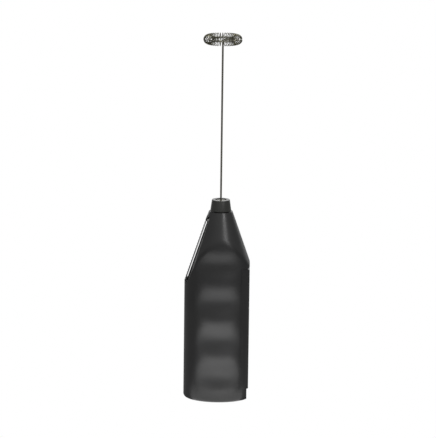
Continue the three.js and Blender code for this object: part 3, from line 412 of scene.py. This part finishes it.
def foot_set_back():
    """The step under the cover, where the casing's foot is set back."""
    foot = slab(COVER_EDGE_X - COVER_GAP, FAR, -FAR, FAR, -1.5, COVER_BOTTOM_Z)
    return combine(foot, "DIFFERENCE", backing(BASE_SET_BACK))


def nail_groove():
    """A V for a fingernail, across the top edge of the cover."""
    shape = bmesh.new()
    bmesh.ops.create_cube(shape, size=1)
    side = NAIL_GROOVE_DEPTH * math.sqrt(2)
    bmesh.ops.scale(shape, vec=(side, FAR, side), verts=shape.verts)
    bmesh.ops.rotate(shape, matrix=Matrix.Rotation(math.pi / 4, 3, "Y"), verts=shape.verts)
    bmesh.ops.translate(shape, vec=(RIGHT_X, 0, COVER_TOP_Z + COVER_GAP / 2), verts=shape.verts)
    return loose(shape)


def casing():
    """The whole casing, still in one piece."""
    whole = casing_form(0.0, 0.0, CONE_TOP_Z, 256, 240, outside=True)
    combine(whole, "DIFFERENCE", casing_room())
    shelf = rod(cone_radius(BUSH_Z) - WALL / 2, BUSH_Z - SHELF_DROP, CONE_TOP_Z - WALL / 2,
                top=CONE_TOP_RADIUS - WALL / 2)
    combine(whole, "UNION", shelf, rod(NECK_RADIUS, CONE_TOP_Z - WALL, NECK_TOP_Z), pin_ears())
    combine(whole, "DIFFERENCE", *lever_cuts())
    combine(whole, "DIFFERENCE",
            cross_bar(PIN_RADIUS + RUNNING_GAP, PIN_LENGTH + FIT_GAP, pin_point.x, pin_point.z),
            cover_seat(), foot_set_back(),
            slab(WINDOW_X, FAR, -BAY_HALF_DEPTH, BAY_HALF_DEPTH, COVER_BOTTOM_Z, WINDOW_TOP_Z),
            nail_groove(), rod(BUSH_RADIUS + RUNNING_GAP, BUSH_Z - FIT_GAP, NECK_TOP_Z + 1),
            rod(COUPLER_RADIUS + 2 * FIT_GAP, CONE_TOP_Z - COUPLER_ROOM, BUSH_Z - FIT_GAP + LAP))
    return whole


def copied(piece):
    """A twin of a piece that isn't finished yet."""
    twin = bpy.data.objects.new("twin", piece.data.copy())
    scene.collection.objects.link(twin)
    return twin


def moulded_plastic(name, dark, pale, roughness, grain=0.35, sheen_patches=0.08):
    """Moulded plastic: fine spark-eroded grain, and a sheen that handling has made uneven."""
    finish = Finish(bpy.data.materials.new(name))
    place = finish.node("ShaderNodeTexCoord", output=3)
    cloud = finish.node("ShaderNodeTexNoise", {}, {"Vector": place, "Scale": 42.0, "Detail": 3.0})
    grains = finish.node("ShaderNodeTexNoise", {}, {"Vector": place, "Scale": 3200.0, "Detail": 2.0})
    rubbed = finish.between(cloud, 0.38, 0.66)
    colour = finish.blend(rubbed * 0.7 + grains * 0.3, dark, pale)
    gloss = roughness + (rubbed - 0.5) * -sheen_patches + (grains - 0.5) * 0.05
    bump = finish.node("ShaderNodeBump", {}, {"Strength": grain, "Distance": 0.00004, "Height": grains})
    skin = finish.node("ShaderNodeBsdfPrincipled", {}, {
        "Base Color": colour, "Roughness": gloss, "Normal": bump})
    finish.node("ShaderNodeOutputMaterial", {}, {"Surface": skin})
    return finish.owner


black_plastic = moulded_plastic("black_plastic", (0.008, 0.008, 0.0085, 1), (0.013, 0.013, 0.0128, 1), 0.33)

front_housing = casing()
rear_housing = copied(front_housing)
combine(front_housing, "INTERSECT", slab(-FAR, FAR, -FAR, -SHELL_GAP / 2, -1, FAR * 3))
combine(rear_housing, "INTERSECT", slab(-FAR, FAR, SHELL_GAP / 2, FAR, -1, FAR * 3))
finished(front_housing, "front_shell", black_plastic, "housing", "black_plastic", "front_housing")
finished(rear_housing, "rear_shell", black_plastic, "housing", "black_plastic", "rear_housing")


# ---- Battery cover ------------------------------------------------------------------------
# A door of the same black plastic over the cells, with two tongues at its foot to turn on.
# Fine ribs for the thumb are moulded across its upper end, below the V for a fingernail.

GRIP_LENGTH, RIB_PITCH, RIB_DEPTH = 21.0, 1.6, 0.35
TONGUE_REACH, TONGUE_WIDTH, TONGUE_HEIGHT = 1.8, 3.0, 2.2


def battery_cover():
    cover = casing_form(0.0, 0.0, CONE_TOP_Z, 256, 240, outside=True)
    combine(cover, "INTERSECT", slab(COVER_EDGE_X, FAR, -FAR, FAR, COVER_BOTTOM_Z, COVER_TOP_Z))
    combine(cover, "DIFFERENCE", backing(COVER_THICKNESS))
    inner = RIGHT_X - COVER_THICKNESS + LAP
    half = BAY_HALF_DEPTH - 2 * FIT_GAP
    z0 = COVER_BOTTOM_Z + 2 * FIT_GAP
    for y0 in (-half, half - TONGUE_WIDTH):
        combine(cover, "UNION", slab(inner - TONGUE_REACH, inner, y0, y0 + TONGUE_WIDTH,
                                     z0, z0 + TONGUE_HEIGHT))
    first = COVER_TOP_Z - NAIL_GROOVE_DEPTH - RIB_PITCH
    for count in range(math.ceil(GRIP_LENGTH / RIB_PITCH)):
        z = first - count * RIB_PITCH
        combine(cover, "DIFFERENCE",
                slab(RIGHT_X - RIB_DEPTH, FAR, -FAR, FAR, z - RIB_PITCH / 4, z + RIB_PITCH / 4))
    return combine(cover, "DIFFERENCE", nail_groove())


finished(battery_cover(), "cell_door", black_plastic, "cover", "black_plastic", "battery_cover")


# ---- Nose collar, seal and bushes ---------------------------------------------------------
# A turned-looking plastic ring pressed on the casing's spigot, and the soft washer under its
# mouth that keeps milk out of the bush. The bushes are pressed and sintered bronze.

COLLAR_Z, COLLAR_HEIGHT = CONE_TOP_Z + FIT_GAP, 6.5
COLLAR_BOTTOM_RADIUS, COLLAR_TOP_RADIUS, COLLAR_MOUTH_RADIUS = 6.1, 5.2, 3.2
COLLAR_TOP_Z = COLLAR_Z + COLLAR_HEIGHT
COLLAR_EDGE, SEAL_EDGE = 0.13, 0.2
SEAL_RADIUS, SEAL_RECESS = 3.0, 0.5
WIRE_RADIUS = 0.55


def turned(profile, x=SHAFT_X, steps=96):
    """A turned solid from its half section, as (radius, height) corners."""
    shape = bmesh.new()
    corners = [shape.verts.new((radius, 0, z)) for radius, z in profile]
    first = 0 if profile[0][0] > 0 else 1
    edges = [shape.edges.new((corners[i - 1], corners[i])) for i in range(first, len(corners))]
    bmesh.ops.spin(shape, geom=corners + edges, cent=(0, 0, 0), axis=(0, 0, 1),
                   angle=2 * math.pi, steps=steps, use_merge=True)
    bmesh.ops.remove_doubles(shape, verts=shape.verts, dist=1e-4)
    bmesh.ops.translate(shape, vec=(x, 0, 0), verts=shape.verts)
    return loose(shape)


def rounded(profile, which, radius, steps=4):
    """The same corners, with those numbered in which cut to a small arc."""
    made = []
    for i, corner in enumerate(profile):
        if i not in which:
            made.append(corner)
            continue
        here = Vector(corner)
        to_last = (Vector(profile[i - 1]) - here).normalized() * radius
        to_next = (Vector(profile[(i + 1) % len(profile)]) - here).normalized() * radius
        for step in range(steps + 1):
            t = step / steps
            made.append(tuple(here + to_last * (1 - t) ** 2 + to_next * t ** 2))
    return made


def worked_metal(name, shade, roughness, streak=0.12):
    """Bare or plated metal: streaks along the height from working it, and a little tarnish."""
    finish = Finish(bpy.data.materials.new(name))
    place = finish.node("ShaderNodeTexCoord", output=3)
    stretched = finish.node("ShaderNodeMapping", {}, {"Vector": place, "Scale": (1.0, 1.0, 0.05)})
    lines = finish.node("ShaderNodeTexNoise", {}, {"Vector": stretched, "Scale": 5000.0, "Detail": 2.0})
    smoke = finish.node("ShaderNodeTexNoise", {}, {"Vector": place, "Scale": 220.0, "Detail": 2.0})
    pale = tuple(min(c * 1.25, 1.0) for c in shade) + (1,)
    dark = tuple(c * 0.72 for c in shade) + (1,)
    colour = finish.blend(finish.between(smoke * 0.6 + lines * 0.4, 0.25, 0.75), dark, pale)
    gloss = roughness + (lines - 0.5) * streak
    bump = finish.node("ShaderNodeBump", {}, {"Strength": 0.2, "Distance": 0.00001, "Height": lines})
    skin = finish.node("ShaderNodeBsdfPrincipled", {}, {
        "Base Color": colour, "Metallic": 1.0, "Roughness": gloss, "Normal": bump})
    finish.node("ShaderNodeOutputMaterial", {}, {"Surface": skin})
    return finish.owner


def dressed(slot, material, *nodes):
    """Gives CAD pieces that stay as they are their finish."""
    for node in nodes:
        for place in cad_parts[node].material_slots:
            place.material = material


collar_plastic = moulded_plastic("collar_plastic", (0.02, 0.0203, 0.0185, 1),
                                 (0.031, 0.031, 0.0285, 1), 0.3)
seal_rubber = moulded_plastic("seal_rubber", (0.42, 0.42, 0.39, 1), (0.55, 0.55, 0.51, 1), 0.6)

spigot = NECK_RADIUS + RUNNING_GAP * 1.5
collar = rounded([
    (spigot, COLLAR_Z), (COLLAR_BOTTOM_RADIUS, COLLAR_Z), (COLLAR_TOP_RADIUS, COLLAR_TOP_Z),
    (COLLAR_MOUTH_RADIUS, COLLAR_TOP_Z), (COLLAR_MOUTH_RADIUS, NECK_TOP_Z + FIT_GAP),
    (spigot, NECK_TOP_Z + FIT_GAP)], {1, 2, 3}, COLLAR_EDGE)
finished(turned(collar), "nose_ring", collar_plastic, "housing", "collar_plastic", "nose_collar")

seal_low, seal_high = NECK_TOP_Z + FIT_GAP, COLLAR_TOP_Z - SEAL_RECESS
seal_mouth = WIRE_RADIUS + RUNNING_GAP
seal = rounded([(seal_mouth, seal_low), (SEAL_RADIUS, seal_low), (SEAL_RADIUS, seal_high),
                (seal_mouth, seal_high)], {2, 3}, SEAL_EDGE)
finished(turned(seal), "nose_washer", seal_rubber, "housing", "seal_rubber", "nose_seal")

sintered_bronze = worked_metal("sintered_bronze", (0.42, 0.3, 0.16), 0.42, 0.3)
dressed("sintered_bronze", sintered_bronze, "nose_bush", "motor_front_bush", "motor_rear_bush")


# ---- Switch lever and pin -----------------------------------------------------------------
# A thin springy strip of black plastic down the left of the cone, hinged on a steel pin at its
# top. Its outer face is ribbed for the thumb, and a foot behind it presses the switch leaf.

LEVER_THICKNESS, LEVER_RIB_HEIGHT, LEVER_RIB_PITCH = 0.15, 0.38, 1.85
LEVER_TOP_WIDTH, LEVER_BOTTOM_WIDTH = 4.4, 5.4
FOOT_STICK_IN, ROOT_LAP, LEVER_EDGE = 0.6, 0.05, 0.04
FOOT_LENGTH = CHANNEL_DEPTH + WALL + FOOT_STICK_IN


def lever_strip():
    """The strip and its ribs, flat, with its length along X and its ribs towards +Z."""
    shape = bmesh.new()
    bmesh.ops.create_cube(shape, size=1)
    low = -(LEVER_THICKNESS + LEVER_RIB_HEIGHT)
    bmesh.ops.scale(shape, vec=(LEVER_LENGTH, 1, LEVER_THICKNESS), verts=shape.verts)
    bmesh.ops.translate(shape, vec=(LEVER_LENGTH / 2, 0, low + LEVER_THICKNESS / 2), verts=shape.verts)
    edge = KNUCKLE_ALONG + KNUCKLE_RADIUS
    raised = [(0.0, edge)]
    while edge + LEVER_RIB_PITCH / 2 < LEVER_LENGTH - LEVER_RIB_PITCH / 4:
        raised.append((edge + LEVER_RIB_PITCH / 2, min(edge + LEVER_RIB_PITCH, LEVER_LENGTH)))
        edge += LEVER_RIB_PITCH
    for x in sorted({x for pair in raised for x in pair if 0 < x < LEVER_LENGTH}):
        bmesh.ops.bisect_plane(shape, geom=shape.verts[:] + shape.edges[:] + shape.faces[:],
                               plane_co=(x, 0, 0), plane_no=(1, 0, 0), dist=1e-5)
    for x0, x1 in raised:
        tops = [f for f in shape.faces if f.normal.z > 0.9 and x0 < f.calc_center_median().x < x1
                and f.calc_center_median().z < -LEVER_RIB_HEIGHT / 2]
        lifted = bmesh.ops.extrude_face_region(shape, geom=tops)
        bmesh.ops.delete(shape, geom=tops, context="FACES_ONLY")
        corners = [g for g in lifted["geom"] if isinstance(g, bmesh.types.BMVert)]
        bmesh.ops.translate(shape, vec=(0, 0, LEVER_RIB_HEIGHT), verts=corners)
    for corner in shape.verts:
        share = corner.co.x / LEVER_LENGTH
        corner.co.y *= LEVER_TOP_WIDTH + (LEVER_BOTTOM_WIDTH - LEVER_TOP_WIDTH) * share
    rims = [e for e in shape.edges if len(e.link_faces) == 2 and e.calc_face_angle() > 0.7]
    bmesh.ops.bevel(shape, geom=rims, offset=LEVER_EDGE, offset_type="OFFSET", segments=2, profile=0.5,
                    affect="EDGES", material=-1)
    strip = loose(shape)
    strip.data.transform(slope_frame)
    return strip


def switch_lever():
    lever = lever_strip()
    root = slope_slab(KNUCKLE_ALONG - KNUCKLE_RADIUS * 0.8, KNUCKLE_ALONG + KNUCKLE_RADIUS * 0.8,
                      KNUCKLE_WIDTH / 2, KNUCKLE_IN, -LEVER_RIB_HEIGHT - ROOT_LAP)
    foot = slope_slab(FOOT_ALONG, FOOT_ALONG + FOOT_HEIGHT, FOOT_WIDTH / 2, -FOOT_LENGTH,
                      -LEVER_RIB_HEIGHT - ROOT_LAP)
    combine(lever, "UNION", cross_bar(KNUCKLE_RADIUS, KNUCKLE_WIDTH, pin_point.x, pin_point.z),
            root, foot)
    return combine(lever, "DIFFERENCE",
                   cross_bar(PIN_RADIUS + RUNNING_GAP, FAR, pin_point.x, pin_point.z))


lever_plastic = moulded_plastic("lever_plastic", (0.013, 0.0135, 0.011, 1), (0.022, 0.023, 0.019, 1), 0.38)
finished(switch_lever(), "thumb_lever", lever_plastic, "lever", "lever_plastic", "switch_lever")

bright_steel = worked_metal("bright_steel", (0.6, 0.6, 0.58), 0.24)
dressed("bright_steel", bright_steel, "lever_pin")


# ---- Switch -------------------------------------------------------------------------------
# A moulded block that clamps two stamped copper leaves. The lever's foot bends the outer one
# until its rivet meets the inner one.

inner_plastic = moulded_plastic("inner_plastic", (0.66, 0.63, 0.56, 1), (0.78, 0.76, 0.70, 1), 0.5)
contact_copper = worked_metal("contact_copper", (0.6, 0.3, 0.16), 0.3, 0.2)
dressed("inner_plastic", inner_plastic, "switch_carrier")
dressed("contact_copper", contact_copper, "switch_leaf", "switch_contact")


# ---- Cells --------------------------------------------------------------------------------
# Two AA cells side by side, one each way up. Each is a steel can in a film that is printed in
# two plain colours and shrunk over its ends, with a nub at the plus end.

CELL_RADIUS, CELL_LENGTH, CELL_NUB_RADIUS, CELL_NUB_HEIGHT = 7.1, 50.5, 2.6, 1.4
LEFT_CELL_X, LEFT_CELL_Z, RIGHT_CELL_X, RIGHT_CELL_Z = -5.95, 7.0, 8.85, 2.65
FILM_EDGE_RADIUS, FILM_EDGE_SLOPE, CELL_END_RECESS = 5.5, 0.2, 0.3
WASHER_WIDTH, CELL_EDGE, SHRINK = 0.6, 0.5, 0.02


def cell(x, z0, nub_up):
    """A cell on its axis at x, with each corner's share of the way to the nub kept as along."""
    shoulder, wide = CELL_LENGTH - CELL_NUB_HEIGHT, CELL_RADIUS - SHRINK
    inside = FILM_EDGE_RADIUS - FILM_EDGE_SLOPE
    profile = rounded([
        (0, CELL_END_RECESS), (inside, CELL_END_RECESS), (FILM_EDGE_RADIUS, 0), (wide, 0),
        (wide, shoulder), (FILM_EDGE_RADIUS, shoulder), (inside, shoulder - CELL_END_RECESS),
        (CELL_NUB_RADIUS + WASHER_WIDTH, shoulder - CELL_END_RECESS),
        (CELL_NUB_RADIUS, shoulder + CELL_END_RECESS),
        (CELL_NUB_RADIUS, CELL_LENGTH), (0, CELL_LENGTH)], {3, 4, 9}, CELL_EDGE)
    made = turned(profile, x=0)
    along = made.data.attributes.new("along", "FLOAT", "POINT")
    for corner, share in zip(made.data.vertices, along.data):
        share.value = corner.co.z / CELL_LENGTH
    if not nub_up:
        over = Matrix.Translation((0, 0, CELL_LENGTH)) @ Matrix.Rotation(math.pi, 4, "X")
        made.data.transform(over)
    made.data.transform(Matrix.Translation((x, 0, z0)))
    return made


def printed_film():
    """Glossy film in two colours with a thin line between, a printer's dot and small scuffs."""
    finish = Finish(bpy.data.materials.new("cell_wrap"))
    place = finish.node("ShaderNodeTexCoord", output=3)
    along = finish.node("ShaderNodeAttribute", {"attribute_name": "along"}, output=2)
    dots = finish.node("ShaderNodeTexNoise", {}, {"Vector": place, "Scale": 2600.0, "Detail": 1.0})
    scuffs = finish.node("ShaderNodeTexNoise", {}, {"Vector": place, "Scale": 160.0, "Detail": 6.0})
    band = finish.between(along, 0.755, 0.757)
    line = finish.between(along, 0.735, 0.737) - finish.between(along, 0.745, 0.747)
    green = finish.blend(dots, (0.035, 0.10, 0.055, 1), (0.05, 0.14, 0.075, 1))
    gold = finish.blend(dots, (0.42, 0.27, 0.10, 1), (0.52, 0.36, 0.15, 1))
    colour = finish.blend(line, finish.blend(band, green, gold), (0.7, 0.7, 0.66, 1))
    gloss = finish.between(scuffs, 0.5, 0.75) * 0.25 + 0.18
    bump = finish.node("ShaderNodeBump", {}, {"Strength": 0.15, "Distance": 0.00002, "Height": scuffs})
    skin = finish.node("ShaderNodeBsdfPrincipled", {}, {
        "Base Color": colour, "Roughness": gloss, "Metallic": band * 0.5, "Normal": bump})
    finish.node("ShaderNodeOutputMaterial", {}, {"Surface": skin})
    return finish.owner


cell_wrap = printed_film()
for name, node, x, z0, nub_up in [("cell_a", "cell_left", LEFT_CELL_X, LEFT_CELL_Z, True),
                                  ("cell_b", "cell_right", RIGHT_CELL_X, RIGHT_CELL_Z, False)]:
    made = cell(x, z0, nub_up)
    bare = [math.hypot(face.center.x - x, face.center.y) < FILM_EDGE_RADIUS - FILM_EDGE_SLOPE / 2
            for face in made.data.polygons]
    finished(made, name, cell_wrap, "housing", "cell_wrap", node)
    made.data.materials.append(bright_steel)
    made.data.polygons.foreach_set("material_index", [int(steel) for steel in bare])


# ---- Cell contacts ------------------------------------------------------------------------
# Nickel-plated spring steel: a bridge and a conical spring at the foot, a flat contact and a
# second spring at the top, on a moulded bulkhead.

SPRING_WIRE_RADIUS, SPRING_WIDE, SPRING_NARROW, SPRING_TURNS = 0.3, 4.3, 2.13, 4.5
SPRING_CLEAR, SPRING_STEPS = 0.15, 160
FLAT_TURNS, FLAT_END = 0.2, 0.15
BRIDGE_TOP_Z, HEAD_PLATE_Z = 2.5, 57.65


def swept(stations, radius, sides):
    """A round wire through stations, each a matrix with its Z along the wire."""
    shape = bmesh.new()
    ring = bmesh.ops.create_circle(shape, cap_ends=False, segments=sides, radius=radius)["verts"]
    bmesh.ops.transform(shape, matrix=stations[0], verts=ring)
    end = shape.edges[:]
    for last, station in zip(stations, stations[1:]):
        grown = bmesh.ops.extrude_edge_only(shape, edges=end)["geom"]
        end = [g for g in grown if isinstance(g, bmesh.types.BMEdge)]
        ring = [g for g in grown if isinstance(g, bmesh.types.BMVert)]
        bmesh.ops.transform(shape, matrix=station @ last.inverted(), verts=ring)
    bmesh.ops.holes_fill(shape, edges=[e for e in shape.edges if e.is_boundary], sides=0)
    return loose(shape)


def station(point, heading, outward):
    """A matrix at point whose Z is the heading and whose X is close to outward."""
    z = heading.normalized()
    y = z.cross(outward).normalized()
    made = Matrix((y.cross(z), y, z)).transposed().to_4x4()
    made.translation = point
    return made


def contact_spring(x, plate_z, cell_z):
    """A conical spring, wide and closed flat at the plate, that narrows towards the cell."""
    way = 1 if cell_z > plate_z else -1
    low = plate_z + way * (SPRING_WIRE_RADIUS + SPRING_CLEAR)
    high = cell_z - way * (SPRING_WIRE_RADIUS + SPRING_CLEAR)

    def point(t):
        rise = min(max((t - FLAT_TURNS) / (1 - FLAT_TURNS - FLAT_END), 0), 1)
        radius = SPRING_WIDE + (SPRING_NARROW - SPRING_WIDE) * t
        turn = t * SPRING_TURNS * 2 * math.pi
        z = low + (high - low) * rise + way * SPRING_WIRE_RADIUS * (t - rise)
        return Vector((x + radius * math.cos(turn), radius * math.sin(turn), z))

    stations = []
    for i in range(SPRING_STEPS + 1):
        here, ahead, behind = (point(min(max((i + j) / SPRING_STEPS, 0), 1)) for j in (0, 0.5, -0.5))
        stations.append(station(here, ahead - behind, here - Vector((x, 0, here.z))))
    return swept(stations, SPRING_WIRE_RADIUS - SHRINK, 10)


finished(contact_spring(LEFT_CELL_X, BRIDGE_TOP_Z, LEFT_CELL_Z), "foot_spring", bright_steel,
         "housing", "bright_steel", "base_spring")
finished(contact_spring(RIGHT_CELL_X, HEAD_PLATE_Z, RIGHT_CELL_Z + CELL_LENGTH), "head_spring",
         bright_steel, "housing", "bright_steel", "top_spring")
dressed("bright_steel", bright_steel, "base_bridge", "top_contact", "top_spring_plate")
dressed("inner_plastic", inner_plastic, "contact_bulkhead")


# ---- Motor --------------------------------------------------------------------------------
# A flat-sided direct-current motor in a pale moulded cradle: a drawn steel can with two ferrite
# magnets, a stamped rotor stack with three copper windings, and a moulded end cap.

ferrite = moulded_plastic("ferrite", (0.03, 0.03, 0.032, 1), (0.075, 0.073, 0.07, 1), 0.62, grain=0.9)
terminal_brass = worked_metal("terminal_brass", (0.6, 0.46, 0.2), 0.28)
winding_copper = worked_metal("winding_copper", (0.55, 0.2, 0.08), 0.34, 0.3)
dressed("bright_steel", bright_steel, "motor_can", "motor_shaft", "rotor_stack")
dressed("inner_plastic", inner_plastic, "motor_end_cap", "motor_cradle", "shaft_coupler")
dressed("ferrite", ferrite, "magnet_left", "magnet_right")
dressed("terminal_brass", terminal_brass, "terminal_left", "terminal_right")
dressed("contact_copper", winding_copper, "winding_1", "winding_2", "winding_3")
dressed("contact_copper", contact_copper, "commutator")


# ---- Leads --------------------------------------------------------------------------------
# Short soldered wires in extruded vinyl insulation, red on the switched side.

red_insulation = moulded_plastic("red_insulation", (0.36, 0.015, 0.015, 1), (0.5, 0.035, 0.03, 1), 0.36)
black_insulation = moulded_plastic("black_insulation", (0.012, 0.012, 0.012, 1),
                                   (0.026, 0.026, 0.026, 1), 0.36)
dressed("red_insulation", red_insulation, "lead_cell_to_switch", "lead_switch_to_motor")
dressed("black_insulation", black_insulation, "lead_motor_to_cell")


# ---- Whisk wire and coil ------------------------------------------------------------------
# One stainless wire, bent out at its top into a spoke and a hoop, and a fine stainless coil
# threaded round the hoop. Both are drawn wire with polishing streaks along them.

RING_Z, RING_OUTER_RADIUS, SPOKE_BEND = 212.2, 11.25, 1.6
COIL_OUTER_RADIUS, COIL_WIRE_RADIUS, COIL_TURNS, COIL_CLEAR = 2.75, 0.21, 38, 0.12
HOOP_RADIUS = RING_OUTER_RADIUS - COIL_OUTER_RADIUS
WIRE_FOOT_Z = 101.0
HOOP_GAP = 0.3
STEPS_A_TURN = 20


def whisk_wire():
    """Drawn on from one end: up the shaft, round a bend, along the spoke and round the hoop."""
    shape = bmesh.new()
    bmesh.ops.create_circle(shape, cap_ends=False, segments=20, radius=WIRE_RADIUS)
    bmesh.ops.translate(shape, vec=(0, 0, WIRE_FOOT_Z), verts=shape.verts)
    end = shape.edges[:]

    def drawn(way):
        grown = bmesh.ops.extrude_edge_only(shape, edges=end)["geom"]
        bmesh.ops.translate(shape, vec=way, verts=[g for g in grown if isinstance(g, bmesh.types.BMVert)])
        return [g for g in grown if isinstance(g, bmesh.types.BMEdge)]

    def bent(centre, axis, angle, steps):
        corners = list({v for e in end for v in e.verts})
        grown = bmesh.ops.spin(shape, geom=end + corners, cent=centre, axis=axis, angle=angle,
                               steps=steps)["geom_last"]
        return [g for g in grown if isinstance(g, bmesh.types.BMEdge)]

    end = drawn((0, 0, RING_Z - SPOKE_BEND - WIRE_FOOT_Z))
    end = bent((SPOKE_BEND, 0, RING_Z - SPOKE_BEND), (0, 1, 0), math.pi / 2, 12)
    meet_x = math.sqrt((HOOP_RADIUS - SPOKE_BEND) ** 2 - SPOKE_BEND ** 2)
    meet_turn = math.atan2(SPOKE_BEND, meet_x)
    end = drawn((meet_x - SPOKE_BEND, 0, 0))
    end = bent((meet_x, SPOKE_BEND, RING_Z), (0, 0, 1), math.pi / 2 + meet_turn, 14)
    end = bent((0, 0, RING_Z), (0, 0, 1), 2 * math.pi - meet_turn - HOOP_GAP, 96)
    bmesh.ops.holes_fill(shape, edges=[e for e in shape.edges if e.is_boundary], sides=0)
    bmesh.ops.translate(shape, vec=(SHAFT_X, 0, 0), verts=shape.verts)
    return loose(shape)


def coil_station(t):
    """Where the coil's wire is, a share t of the way round the hoop."""
    turn = COIL_CLEAR + (2 * math.pi - 2 * COIL_CLEAR) * t
    twist = t * COIL_TURNS * 2 * math.pi
    radius = COIL_OUTER_RADIUS - COIL_WIRE_RADIUS
    away = Vector((math.cos(turn), math.sin(turn), 0))
    outward = away * math.cos(twist) + Vector((0, 0, math.sin(twist)))
    ahead = Vector((-math.sin(turn), math.cos(turn), 0))
    climb = COIL_TURNS * radius / (HOOP_RADIUS + radius * math.cos(twist))
    heading = ahead + (Vector((0, 0, math.cos(twist))) - away * math.sin(twist)) * climb
    point = Vector((SHAFT_X, 0, RING_Z)) + away * HOOP_RADIUS + outward * radius
    return station(point, heading, outward)


whisk_steel = worked_metal("whisk_steel", (0.30, 0.29, 0.25), 0.16)
finished(whisk_wire(), "hoop_wire", whisk_steel, "whisk", "whisk_steel", "whisk_wire")
coil_steps = COIL_TURNS * STEPS_A_TURN
coil = swept([coil_station(i / coil_steps) for i in range(coil_steps + 1)], COIL_WIRE_RADIUS, 8)
# The coil is the same stainless steel as the hoop wire, given a much darker colour: painted shade for the
# dark strands between its close turns.
shaded_coil_steel = worked_metal("shaded_coil_steel", (0.13, 0.125, 0.09), 0.14)
finished(coil, "hoop_coil", shaded_coil_steel, "whisk", "whisk_steel", "whisk_coil")
